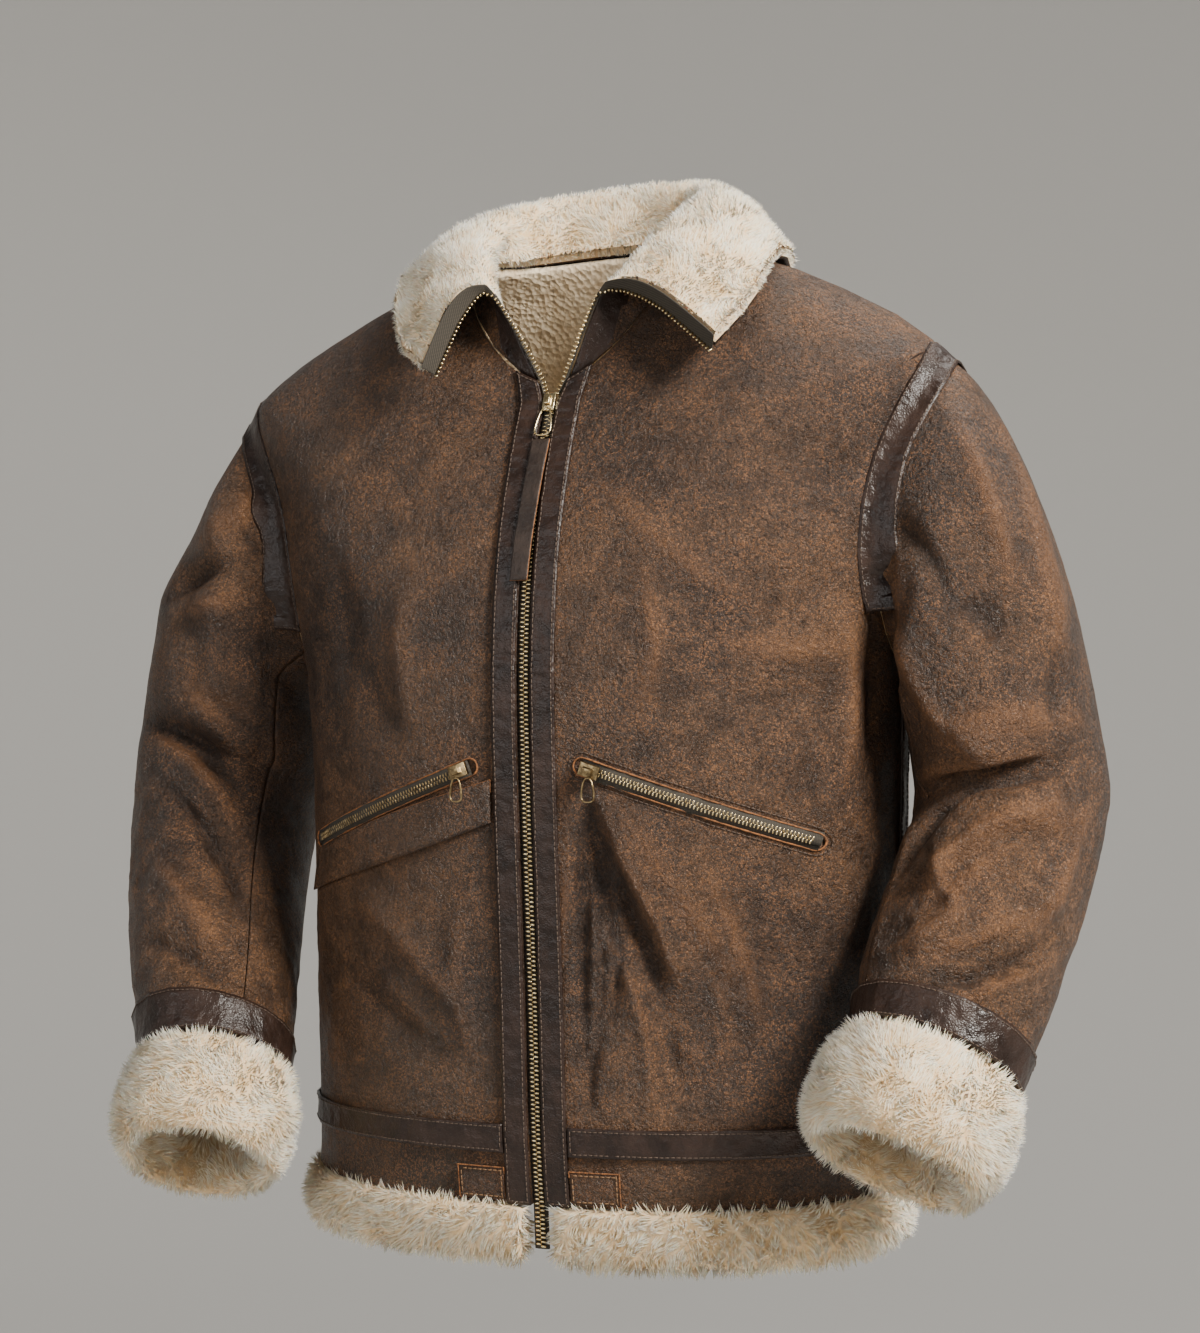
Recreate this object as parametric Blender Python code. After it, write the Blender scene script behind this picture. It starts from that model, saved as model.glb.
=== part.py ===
"""Shearling aviator jacket, hollow, in the shape that its wearer gives it.

Metres, +Z up. The front faces -Y and +X is the wearer's left. The origin is the middle of
the neck opening, level with the points where the shoulder seams meet the collar.

Every piece is a wall laid on one of three surfaces, each worked out from a short table:
the torso (an angle from the centre front and a level up the body), the two sleeves (an
angle round the arm and a station along it) and the collar (a station round the neck and
a share of its height).
"""

import math
from collections import namedtuple

import bmesh
import bpy
from mathutils import Matrix, Vector

# Driving dimensions
HIDE = 0.005  # skin with its clipped wool
TRIM = 0.0015  # the thin dark leather of the tapes
FLEECE = 0.012  # the long wool of the collar
GAP = 0.0003  # left at every seam
LIFT = 0.0006  # a trim's underside above the panel
ZIP_GAP = 0.0055  # from the centre line to each front edge
ZIP_OPENING = 0.006  # how much further each lies at the collar, above the slider
PLACKET = 0.0180  # width of the leather strip beside the zip
TAPE = 0.012  # half the width of an armhole tape
CHAIN = 0.0035  # half the width of the closed zip chain
SLIDER_LEVEL = 8.35  # torso level of the middle of the slider
CHAIN_FOOT = -0.45  # torso level, below the hem band, where the zip ends
SQUARENESS = 2.35  # of the torso's rings: 2 is an ellipse

# The torso, ring by ring from the hem up
Ring = namedtuple("Ring", "z_front z_side z_back half_left half_right y_front y_side y_back")
TORSO = [
    Ring(-0.677, -0.673, -0.670, 0.213, 0.229, -0.110, 0.022, 0.152),  # 0 edge of the hem band
    Ring(-0.629, -0.627, -0.625, 0.213, 0.227, -0.115, 0.021, 0.158),  # 1 waist seam
    Ring(-0.520, -0.520, -0.520, 0.220, 0.228, -0.119, 0.020, 0.164),  # 2 belly
    Ring(-0.405, -0.405, -0.405, 0.225, 0.227, -0.125, 0.018, 0.168),  # 3 ribs
    Ring(-0.312, -0.312, -0.312, 0.229, 0.232, -0.127, 0.017, 0.160),  # 4 under the arms
    Ring(-0.240, -0.235, -0.235, 0.240, 0.248, -0.119, 0.016, 0.150),  # 5 chest
    Ring(-0.188, -0.160, -0.160, 0.252, 0.266, -0.104, 0.015, 0.136),  # 6 upper chest
    Ring(-0.150, -0.090, -0.090, 0.260, 0.281, -0.089, 0.014, 0.114),  # 7 shoulder points
    Ring(-0.127, -0.033, -0.032, 0.176, 0.186, -0.078, 0.010, 0.088),  # 8 middle of the shoulders
    Ring(-0.106, 0.000, 0.010, 0.088, 0.090, -0.070, 0.000, 0.064),  # 9 collar seam
]
HEM, WAIST_SEAM, ARMPIT, SHOULDER, NECK = 0, 1, 4, 7, 9
ARMHOLE_FRONT = math.radians(27)  # how far each armhole reaches round from the side
ARMHOLE_BACK = math.radians(24)

# The sleeves: each section's outer and inner edge, its place front to back, its depth
Section = namedtuple("Section", "out_x out_z in_x in_z y forward half_depth")
LEFT_SLEEVE = [
    Section(0.286, -0.114, 0.236, -0.322, 0.014, 0, 0.076),
    Section(0.314, -0.166, 0.233, -0.334, 0.013, 0, 0.079),
    Section(0.340, -0.236, 0.231, -0.346, 0.014, 0, 0.081),
    Section(0.354, -0.296, 0.232, -0.360, 0.018, 0, 0.081),
    Section(0.362, -0.347, 0.233, -0.376, 0.022, 2, 0.079),
    Section(0.369, -0.395, 0.235, -0.404, 0.018, 14, 0.077),
    Section(0.365, -0.438, 0.231, -0.434, 0.004, 24, 0.074),
    Section(0.355, -0.488, 0.222, -0.472, -0.020, 30, 0.071),
    Section(0.341, -0.540, 0.213, -0.514, -0.050, 33, 0.065),
    Section(0.325, -0.590, 0.213, -0.556, -0.078, 33, 0.058),
]
RIGHT_SLEEVE = [
    Section(0.298, -0.120, 0.243, -0.324, 0.014, 0, 0.076),
    Section(0.336, -0.176, 0.241, -0.336, 0.013, 0, 0.079),
    Section(0.364, -0.234, 0.240, -0.348, 0.014, 0, 0.081),
    Section(0.380, -0.290, 0.242, -0.362, 0.018, 0, 0.081),
    Section(0.393, -0.342, 0.245, -0.380, 0.022, 4, 0.079),
    Section(0.396, -0.394, 0.249, -0.404, 0.014, 16, 0.078),
    Section(0.391, -0.442, 0.247, -0.444, -0.006, 28, 0.076),
    Section(0.374, -0.496, 0.236, -0.488, -0.036, 36, 0.073),
    Section(0.348, -0.550, 0.220, -0.538, -0.072, 38, 0.067),
    Section(0.313, -0.606, 0.209, -0.584, -0.106, 35, 0.057),
]
# Round the fleece of a cuff: how far along it, and its distance out from the sleeve's edge
CUFF_OUTLINE = [
    (0.000, 0.003), (0.010, 0.010), (0.030, 0.014), (0.055, 0.014), (0.074, 0.007),
    (0.081, -0.003), (0.074, -0.013), (0.045, -0.015), (0.015, -0.014), (0.000, -0.009),
]
# Round the fleece of the hem: out from the hem band's outer face, and up from its edge
HEM_OUTLINE = [
    (0.003, 0.000), (0.010, -0.006), (0.013, -0.020), (0.010, -0.036), (0.002, -0.044),
    (-0.010, -0.044), (-0.018, -0.036), (-0.020, -0.020), (-0.016, -0.006), (-0.006, 0.000),
]
CUFF_SEAM = 0.001  # from the sleeve's end to the fleece, clear of the tape's thickness
HEM_FRONT_END = 0.0075  # from the centre line to each end of the hem's fleece

# The collar, from the wearer's right front end round the back to the left one
Leaf = namedtuple("Leaf", "seam_angle fold_x fold_y fold_z edge_x edge_y edge_z swell")
COLLAR = [
    Leaf(-8, -0.050, -0.075, -0.036, -0.086, -0.092, -0.096, 0.010),
    Leaf(-40, -0.070, -0.042, -0.006, -0.120, -0.068, -0.072, 0.012),
    Leaf(-75, -0.084, 0.000, 0.022, -0.148, -0.010, -0.014, 0.012),
    Leaf(-110, -0.080, 0.042, 0.046, -0.136, 0.052, -0.012, 0.012),
    Leaf(-145, -0.052, 0.074, 0.060, -0.088, 0.100, -0.036, 0.012),
    Leaf(-180, 0.000, 0.088, 0.066, 0.000, 0.116, -0.040, 0.012),
    Leaf(-215, 0.052, 0.074, 0.060, 0.088, 0.100, -0.034, 0.012),
    Leaf(-250, 0.078, 0.042, 0.046, 0.134, 0.054, -0.016, 0.012),
    Leaf(-285, 0.080, 0.000, 0.024, 0.145, -0.004, -0.018, 0.012),
    Leaf(-320, 0.068, -0.042, -0.006, 0.143, -0.055, -0.060, 0.011),
    Leaf(-352, 0.046, -0.075, -0.042, 0.128, -0.088, -0.092, 0.010),
]
LAST_LEAF = len(COLLAR) - 1
STAND_MIDDLE, STAND_HOLLOW = 0.62, 0.003  # a point up the stand, and how far it dips in
LEAF_MIDDLE, LEAF_OUT = 0.42, 0.002  # a point down the leaf, and how far it stands out
CLIPPED = 0.80  # share of the wool that is clipped off the stand's front ends
CLIPPED_REACH = 1.2  # in stations, from each end

NECK_FADE = 1.5  # folds die out over so many levels below the collar
SEAM_FADE = 3.0  # and the more sharply beside the side seams, the larger this is
ROOT_FADE, CUFF_FADE = 1.2, 0.6  # and over so many stations at a sleeve's two ends
# Folds: both ends of the line, its half width and how far it stands out (in if negative)
Fold = namedtuple("Fold", "a0 b0 a1 b1 width height")
# On the front, by x and z
FRONT_FOLDS = [
    Fold(0.043, -0.392, 0.090, -0.507, 0.009, -0.007),
    Fold(0.090, -0.507, 0.105, -0.594, 0.009, -0.006),
    Fold(0.062, -0.400, 0.116, -0.520, 0.012, 0.006),
    Fold(0.052, -0.450, 0.076, -0.580, 0.013, 0.007),
    Fold(0.037, -0.405, 0.034, -0.520, 0.006, -0.004),
    Fold(0.096, -0.420, 0.150, -0.545, 0.012, -0.004),
    Fold(0.046, -0.560, 0.047, -0.612, 0.007, -0.004),
    Fold(0.192, -0.189, 0.236, -0.170, 0.012, -0.004),
    Fold(0.130, -0.200, 0.200, -0.240, 0.022, 0.005),
    Fold(0.120, -0.300, 0.190, -0.270, 0.022, -0.004),
    Fold(0.200, -0.330, 0.190, -0.560, 0.018, 0.005),
    Fold(-0.130, -0.180, -0.210, -0.230, 0.020, 0.005),
    Fold(-0.060, -0.520, -0.150, -0.575, 0.016, 0.004),
    Fold(-0.120, -0.300, -0.190, -0.260, 0.020, -0.004),
]
# On the back, by x and z
BACK_FOLDS = [
    Fold(-0.190, -0.230, -0.110, -0.300, 0.022, 0.006),
    Fold(0.190, -0.220, 0.120, -0.310, 0.022, 0.006),
    Fold(-0.120, -0.420, -0.060, -0.580, 0.018, 0.006),
    Fold(0.060, -0.400, 0.110, -0.585, 0.020, 0.007),
    Fold(-0.010, -0.460, 0.015, -0.590, 0.016, -0.005),
    Fold(-0.150, -0.100, 0.150, -0.100, 0.030, -0.004),
]
# On a sleeve, by degrees round the arm (0 outside, 90 in front) and station
SLEEVE_FOLDS = {
    1: [
        Fold(48, 5.75, 102, 5.80, 0.010, -0.017),
        Fold(102, 5.80, 160, 6.75, 0.012, -0.016),
        Fold(70, 5.15, 120, 5.05, 0.014, 0.008),
        Fold(58, 6.50, 140, 6.90, 0.013, 0.006),
        Fold(36, 1.40, 44, 5.20, 0.020, 0.005),
        Fold(66, 2.40, 72, 3.40, 0.016, -0.006),
        Fold(100, 1.20, 150, 3.20, 0.018, 0.005),
        Fold(15, 6.90, 95, 7.30, 0.013, -0.006),
        Fold(120, 7.90, 88, 8.60, 0.013, -0.006),
        Fold(130, 9.20, 30, 8.50, 0.012, -0.005),
        Fold(200, 5.60, 262, 5.20, 0.016, -0.006),
        Fold(300, 5.40, 345, 6.20, 0.016, 0.005),
        Fold(260, 1.50, 300, 3.60, 0.020, -0.005),
    ],
    -1: [
        Fold(10, 2.30, 70, 2.10, 0.014, -0.006),
        Fold(10, 3.10, 60, 2.70, 0.016, 0.006),
        Fold(70, 2.10, 104, 4.20, 0.014, -0.010),
        Fold(50, 3.60, 52, 5.20, 0.016, 0.005),
        Fold(40, 5.40, 118, 7.30, 0.013, 0.009),
        Fold(72, 5.00, 150, 5.60, 0.014, -0.011),
        Fold(45, 7.20, 105, 8.40, 0.013, -0.006),
        Fold(60, 8.80, 130, 9.20, 0.012, -0.005),
        Fold(200, 5.60, 262, 5.20, 0.016, -0.006),
        Fold(300, 5.40, 345, 6.20, 0.016, 0.005),
        Fold(260, 1.50, 300, 3.60, 0.020, -0.005),
    ],
}
ARM_RADIUS = 0.066  # for the flat distance round a sleeve
STATION_STEP = 0.046  # for the flat distance along it
FLAT_SLEEVE_FOLDS = {
    side: [
        fold._replace(
            a0=math.radians(fold.a0) * ARM_RADIUS, a1=math.radians(fold.a1) * ARM_RADIUS,
            b0=fold.b0 * STATION_STEP, b1=fold.b1 * STATION_STEP,
        )
        for fold in folds
    ]
    for side, folds in SLEEVE_FOLDS.items()
}

# Pockets: the ends of each slanting zip by x and z
POCKET_IN, POCKET_OUT = (0.042, -0.377), (0.190, -0.429)
# The leather facing under the right pocket's mouth: its upper and lower edge by x and z
FACING_UPPER = [(-0.190, -0.437), (-0.108, -0.409), (-0.026, -0.386)]
FACING_LOWER = [(-0.203, -0.468), (-0.093, -0.437), (-0.026, -0.415)]
PATCH_X, PATCH_Z = (0.0245, 0.060), (-0.6745, -0.652)  # of each patch on the hem band
WAIST_TAPE = (0.81, 1.083)  # torso levels of its two edges

# The zips, across and out from the cloth
MAIN_ZIP_OUTLINE = [
    (-0.0052, -0.0040), (-0.0052, -0.0022), (-CHAIN, -0.0022), (-CHAIN, -0.0004),
    (CHAIN, -0.0004), (CHAIN, -0.0022), (0.0052, -0.0022), (0.0052, -0.0040),
]
POCKET_ZIP_OUTLINE = [
    (-0.0065, 0.0008), (-0.0065, 0.0018), (-0.0028, 0.0018), (-0.0028, 0.0028),
    (0.0028, 0.0028), (0.0028, 0.0018), (0.0065, 0.0018), (0.0065, 0.0008),
]
# An open side of the main zip, by share of the cloth's thickness and out from its edge
OPEN_ZIP_OUTLINE = [(-0.30, 0.0012), (-0.30, 0.0027), (0.95, 0.0027), (0.95, 0.0012)]
# A slider from its side: along the zip and out from the cloth. Its lug is the top two
SLIDER_PROFILE = [
    (-0.0070, 0.0003), (0.0070, 0.0003), (0.0070, 0.0033), (0.0042, 0.0036),
    (0.0035, 0.0069), (-0.0030, 0.0069), (-0.0036, 0.0036), (-0.0070, 0.0033),
]
SLIDER_TOP = 0.0036  # out from the cloth, beside the lug
SLIDER_HALF, LUG_HALF = 0.0046, 0.0019
WIRE = 0.0009  # the radius of the pulls' wire
RISE = 0.025  # how far a pull that lies on the cloth rises from it, as a share of its length
# Pulls: half their width at the top and bottom, their length, and where their top wire
# runs, up from their slider's middle and out from its foot
Pull = namedtuple("Pull", "top bottom length pivot_up pivot_out")
PULLS = {
    "main": Pull(0.0034, 0.0062, 0.024, -0.0048, 0.0055),
    "pocket": Pull(0.0032, 0.0046, 0.017, -0.0041, 0.0052),
}
STRAP_HALF, STRAP_LENGTH = 0.0065, 0.100
STRAP_DRIFT = 0.004  # how far the strap's foot hangs to the wearer's right of its head
STRAP_LAYER = (0.0028, 0.0042)  # between these distances out from the front
POCKET_SLIDER_AT = 0.045  # share of the pocket zip's length
POCKET_SLIDER_RAISE = 0.0032  # its foot above the front

Finish = namedtuple("Finish", "colour roughness metallic")
FINISHES = {
    "leather": Finish((0.13, 0.058, 0.024), 0.50, 0.0),
    "trim_leather": Finish((0.032, 0.018, 0.013), 0.38, 0.0),
    "fleece": Finish((0.80, 0.66, 0.44), 0.95, 0.0),
    "zip_tape": Finish((0.050, 0.042, 0.030), 0.90, 0.0),
    "brass": Finish((0.52, 0.38, 0.17), 0.32, 1.0),
    "patch_leather": Finish((0.20, 0.085, 0.035), 0.55, 0.0),
}


# ---------------------------------------------------------------- surfaces


def spline(rows, at):
    """A smooth curve through the rows of a table, at a place counted in rows."""
    last = len(rows) - 1
    k = min(max(math.floor(at), 0), last - 1)
    t = at - k
    p1, p2 = Vector(rows[k]), Vector(rows[k + 1])
    p0 = Vector(rows[k - 1]) if k > 0 else 2 * p1 - p2
    p3 = Vector(rows[k + 2]) if k + 2 <= last else 2 * p2 - p1
    slope1, slope2 = (p2 - p0) / 2, (p3 - p1) / 2
    bend = (3 * (p2 - p1) - 2 * slope1 - slope2) * t**2
    return p1 + slope1 * t + bend + (2 * (p1 - p2) + slope1 + slope2) * t**3


def fold_height(a, b, folds):
    """How far the folds move a point that lies at (a, b) on the flattened surface."""
    total = 0.0
    for fold in folds:
        start, end = Vector((fold.a0, fold.b0)), Vector((fold.a1, fold.b1))
        line = end - start
        share = min(max((Vector((a, b)) - start).dot(line) / line.length_squared, 0), 1)
        apart = (Vector((a, b)) - start - share * line).length
        fade = 0.35 + 0.65 * math.sin(math.pi * share)
        total += fold.height * fade * math.exp(-((apart / fold.width) ** 2))
    return total


def ring_at(level, side):
    """The torso's ring at a level, and its half width on the left (1) or right (-1)."""
    ring = Ring(*spline(TORSO, level))
    return ring, ring.half_left if side > 0 else ring.half_right


def torso_plain(angle, level):
    """The torso with no folds. The angle turns from the centre front to the wearer's left."""
    sine, cosine = math.sin(angle), math.cos(angle)
    ring, half_width = ring_at(level, 1 if sine >= 0 else -1)
    reach = (abs(sine) ** SQUARENESS + abs(cosine) ** SQUARENESS) ** (-1 / SQUARENESS)
    to_y = ring.y_front if cosine > 0 else ring.y_back
    to_z = ring.z_front if cosine > 0 else ring.z_back
    y = ring.y_side + (to_y - ring.y_side) * abs(cosine) * reach
    z = ring.z_side + (to_z - ring.z_side) * cosine**2
    return Vector((half_width * sine * reach, y, z))


def out_of(surface, a, b, step_a, step_b):
    """The surface's unit normal at (a, b)."""
    across = surface(a + step_a, b) - surface(a - step_a, b)
    along = surface(a, b + step_b) - surface(a, b - step_b)
    return across.cross(along).normalized()


def torso(angle, level, out=0.0):
    """The torso's outer face with its folds, moved out by a distance."""
    point = torso_plain(angle, level)
    folds = FRONT_FOLDS if math.cos(angle) > 0 else BACK_FOLDS
    height = fold_height(point.x, point.z, folds)
    # The folds die out towards the zip, the side seams and the collar
    if folds is FRONT_FOLDS:
        height *= min(1.0, max(0.0, abs(point.x) / PLACKET - 1.0))
    height *= min(1.0, max(0.0, (NECK - level) / NECK_FADE))
    height *= min(1.0, (SEAM_FADE * math.cos(angle)) ** 2)
    normal = out_of(torso_plain, angle, level, 0.01, 0.02)
    return point + normal * (height + out)


def front_at(x, z, out=0.0):
    """A point on the front by its x and z: the rings' formula for x, turned round."""
    level, angle = ARMPIT, 0.0
    for _ in range(14):
        half_width = ring_at(level, x)[1]
        share = min(abs(x) / half_width, 0.999)
        tangent = share / (1 - share**SQUARENESS) ** (1 / SQUARENESS)
        angle = math.copysign(math.atan(tangent), x)
        level += (z - torso_plain(angle, level).z) / 0.1
    return torso(angle, level, out)


def armhole(phi):
    """(angle, level) on the torso's left side of the armhole, phi degrees round from its top."""
    sine, cosine = math.sin(math.radians(phi)), math.cos(math.radians(phi))
    reach = ARMHOLE_FRONT if sine > 0 else ARMHOLE_BACK
    return math.pi / 2 - reach * sine, ARMPIT + (SHOULDER - ARMPIT) * (1 + cosine) / 2


def side_edge(level, front):
    """The torso angle of a panel's edge at a level: side seam, armhole, then shoulder seam."""
    if not ARMPIT < level < SHOULDER:
        return math.pi / 2
    share = (level - ARMPIT) / (SHOULDER - ARMPIT)
    phi = math.degrees(math.acos(2 * share - 1))
    return armhole(phi if front else 360 - phi)[0]


def section_frame(section):
    """Centre, outward, forward and axis vectors of a sleeve section, and its half width."""
    outer = Vector((section.out_x, 0, section.out_z))
    inner = Vector((section.in_x, 0, section.in_z))
    outward = (outer - inner).normalized()
    axis = Vector((outward.z, 0, -outward.x)) * math.cos(math.radians(section.forward))
    axis.y = -math.sin(math.radians(section.forward))
    centre = (outer + inner) / 2 + Vector((0, section.y, 0))
    return centre, outward, axis.cross(outward), axis, (outer - inner).length / 2


def sleeve_plain(side, phi, station):
    """A sleeve with no folds, phi degrees round from its outer side, by way of the front."""
    turn = math.radians(phi)
    sections = LEFT_SLEEVE if side > 0 else RIGHT_SLEEVE
    angle, level = armhole(phi % 360)
    rings = [torso_plain(side * angle, level)]
    for section in sections:
        centre, outward, forward, _, half_width = section_frame(section)
        ring = centre + outward * half_width * math.cos(turn)
        ring += forward * section.half_depth * math.sin(turn)
        rings.append(Vector((side * ring.x, ring.y, ring.z)))
    return spline(rings, station)


def sleeve(side, phi, station, out=0.0):
    """A sleeve's outer face with its folds, moved out by a distance."""
    point = sleeve_plain(side, phi, station)
    height = 0.0
    for turn in (-360, 0, 360):
        at = math.radians(phi % 360 + turn) * ARM_RADIUS
        height += fold_height(at, station * STATION_STEP, FLAT_SLEEVE_FOLDS[side])
    height *= min(1.0, station / ROOT_FADE)
    height *= min(1.0, (len(LEFT_SLEEVE) - station) / CUFF_FADE)
    normal = out_of(lambda a, b: sleeve_plain(side, a, b), phi, station, 6.0, 0.1)
    return point + side * normal * (height + out)


def collar_plain(station, share):
    """The collar's leather face: up from the collar seam, over the fold and down to the edge."""
    leaf = Leaf(*spline(COLLAR, station))
    seam = torso_plain(math.radians(leaf.seam_angle), NECK) + Vector((0, 0, GAP + LIFT))
    fold = Vector((leaf.fold_x, leaf.fold_y, leaf.fold_z))
    edge = Vector((leaf.edge_x, leaf.edge_y, leaf.edge_z))
    away = Vector((edge.x - fold.x, edge.y - fold.y, 0)).normalized()
    rising = seam.lerp(fold, STAND_MIDDLE) - away * STAND_HOLLOW
    falling = fold.lerp(edge, LEAF_MIDDLE) + Vector((0, 0, leaf.swell)) + away * LEAF_OUT
    return spline([seam, rising, fold, falling, edge], share * 4)


def collar(station, share, depth=0.0):
    """The collar from its leather face (depth 0) to its fleece face (depth 1). The wool is
    clipped on the front of the stand, where it turns out sharply."""
    near_end = max(0.0, 1 - min(station, LAST_LEAF - station) / CLIPPED_REACH)
    on_stand = min(1.0, max(0.0, (0.70 - share) / 0.3))
    thickness = FLEECE * (1 - CLIPPED * near_end * on_stand)
    normal = out_of(collar_plain, station, share, 0.05, 0.02)
    return collar_plain(station, share) + normal * depth * thickness


# ---------------------------------------------------------------- building


def material_of(name):
    finish = FINISHES[name]
    material = bpy.data.materials.get(name) or bpy.data.materials.new(name)
    material.use_nodes = True
    shader = material.node_tree.nodes["Principled BSDF"]
    shader.inputs["Base Color"].default_value = (*finish.colour, 1.0)
    shader.inputs["Roughness"].default_value = finish.roughness
    shader.inputs["Metallic"].default_value = finish.metallic
    return material


def add_object(name, bm, finish, jacket):
    mesh = bpy.data.meshes.new(name)
    bm.to_mesh(mesh)
    bm.free()
    mesh.shade_smooth()
    obj = bpy.data.objects.new(name, mesh)
    obj.data.materials.append(material_of(finish))
    jacket.objects.link(obj)
    return obj


def laid_grid(columns, rows, place):
    """A grid primitive with a vertex at each column and row, put where place says. Each
    vertex keeps the numbers of its column and row."""
    bm = bmesh.new()
    across, up = len(columns) - 1, len(rows) - 1
    bmesh.ops.create_grid(bm, x_segments=across, y_segments=up, size=1)
    column_of = bm.verts.layers.int.new("column")
    row_of = bm.verts.layers.int.new("row")
    for vertex in bm.verts:
        vertex[column_of] = round((vertex.co.x + 1) / 2 * across)
        vertex[row_of] = round((vertex.co.y + 1) / 2 * up)
        vertex.co = place(columns[vertex[column_of]], rows[vertex[row_of]])
    return bm


def wall(name, columns, rows, place, between, finish, jacket):
    """A sheet with a thickness, between two distances out from its surface."""
    bm = laid_grid(columns, rows, lambda column, row: place(column, row, between[0]))
    bmesh.ops.remove_doubles(bm, verts=bm.verts, dist=1e-6)
    moved = bmesh.ops.extrude_face_region(bm, geom=bm.faces[:])["geom"]
    column_of = bm.verts.layers.int["column"]
    row_of = bm.verts.layers.int["row"]
    for vertex in moved:
        if isinstance(vertex, bmesh.types.BMVert):
            column, row = columns[vertex[column_of]], rows[vertex[row_of]]
            vertex.co = place(column, row, between[1])
    bmesh.ops.recalc_face_normals(bm, faces=bm.faces)
    return add_object(name, bm, finish, jacket)


def sweep(name, outline, rows, place, finish, jacket, capped):
    """A solid with a closed outline, carried along the rows."""
    bm = laid_grid([*outline, outline[0]], rows, place)
    bmesh.ops.remove_doubles(bm, verts=bm.verts, dist=1e-6)
    if capped:
        edges = [edge for edge in bm.edges if edge.is_boundary]
        bmesh.ops.holes_fill(bm, edges=edges, sides=0)
    bmesh.ops.recalc_face_normals(bm, faces=bm.faces)
    return add_object(name, bm, finish, jacket)


def steps(first, last, count):
    return [first + (last - first) * k / count for k in range(count + 1)]


TAPE_CREST = SHOULDER + 0.13  # torso level where the armhole tapes cross the shoulder seam


def torso_levels():
    """The levels of the rows that every torso panel shares. Those beside the armhole are
    where the sleeves' columns meet it, so that both sides of the seam have the same corners."""
    below = steps(WAIST_SEAM, ARMPIT, 12)[:-1]
    beside = [armhole(phi)[1] for phi in range(180, -1, -18)]
    return below + beside + [TAPE_CREST] + steps(SHOULDER + 0.45, NECK, 4)


LEVELS = torso_levels()
BAND_LEVELS = steps(HEM, WAIST_SEAM, 2)


def zip_edge(level):
    """How far a front edge lies from the centre line. It opens above the slider."""
    opening = min(max((level - SLIDER_LEVEL) / (NECK - SLIDER_LEVEL), 0), 1)
    return ZIP_GAP + ZIP_OPENING * opening


# Columns: EDGE is a panel's first edge and FAR_EDGE its last. From 0 to 1 they go across
# what the placket and the armhole tapes leave uncovered.
EDGE, FAR_EDGE = -1, 2
NARROWEST = 0.15  # of the half widths that a tape's angle is worked out from
LEFT_COLUMNS = [EDGE] + [share**1.25 for share in steps(0, 1, 12)] + [FAR_EDGE]
RIGHT_COLUMNS = [EDGE] + [share**1.1 for share in steps(0, 1, 9)] + [FAR_EDGE]
BACK_COLUMNS = [EDGE] + steps(0, 1, 16) + [FAR_EDGE]


def front_angle(column, level, side):
    """The torso angle, from 0 at the centre, of a front panel's column."""
    half_width = ring_at(level, side)[1]
    edge = side_edge(level, front=True) - GAP / 2 / half_width
    if column == EDGE:
        return zip_edge(level) / half_width
    if column == FAR_EDGE:
        return edge
    placket = (zip_edge(level) + PLACKET) / half_width
    return placket + (edge - TAPE / max(half_width, NARROWEST) - placket) * column


def back_angle(column, level):
    """The torso angle of a back panel's column, from the left side round to the right."""
    ends = []
    for side in (1, -1):
        half_width = ring_at(level, side)[1]
        edge = side_edge(level, front=False) + GAP / 2 / half_width
        ends.append((edge, edge + TAPE / max(half_width, NARROWEST)))
    if column == EDGE:
        return ends[0][0]
    if column == FAR_EDGE:
        return 2 * math.pi - ends[1][0]
    return ends[0][1] + (2 * math.pi - ends[1][1] - ends[0][1]) * column


def eased(level, low, high):
    """A level kept a seam's gap inside the ends of its panel."""
    return min(max(level, low + 0.003), high - 0.003)


def build_torso(jacket):
    parts = (
        ("front", LEVELS, WAIST_SEAM, NECK),
        ("hem_band_front", BAND_LEVELS, HEM, WAIST_SEAM),
    )
    for name, levels, low, high in parts:
        for side, word, columns in ((1, "left", LEFT_COLUMNS), (-1, "right", RIGHT_COLUMNS[::-1])):

            def front(column, level, out, side=side, low=low, high=high):
                angle = side * front_angle(column, level, side)
                return torso(angle, eased(level, low, high), out)

            wall(f"{name}_{word}", columns, levels, front, (-HIDE, 0), "leather", jacket)

    for name, levels, low, high in (
        ("back", LEVELS, WAIST_SEAM, NECK),
        ("hem_band_back", BAND_LEVELS, HEM, WAIST_SEAM),
    ):

        def back(column, level, out, low=low, high=high):
            return torso(back_angle(column, level), eased(level, low, high), out)

        wall(name, BACK_COLUMNS, levels, back, (-HIDE, 0), "leather", jacket)


PHI_TOP = list(range(-54, 145, 18))  # the top sleeve, from its back seam to its front seam
PHI_UNDER = list(range(144, 307, 18))
SLEEVE_ROWS = [0.03, 0.27] + steps(0.7, len(LEFT_SLEEVE), 20)


def build_sleeves(jacket):
    for side, word in ((1, "left"), (-1, "right")):
        for part, phis in (("top_sleeve", PHI_TOP), ("under_sleeve", PHI_UNDER)):
            ends = (min(phis), max(phis))
            slack = math.degrees(2 * GAP / ARM_RADIUS)

            def place(phi, station, out, side=side, ends=ends, slack=slack):
                inside = min(max(phi, ends[0] + slack), ends[1] - slack)
                return sleeve(side, inside, station, out)

            wall(f"{part}_{word}", phis, SLEEVE_ROWS, place, (-HIDE, 0), "leather", jacket)


def sleeve_end(side):
    sections = LEFT_SLEEVE if side > 0 else RIGHT_SLEEVE
    return sections[-1], section_frame(sections[-1])


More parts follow.
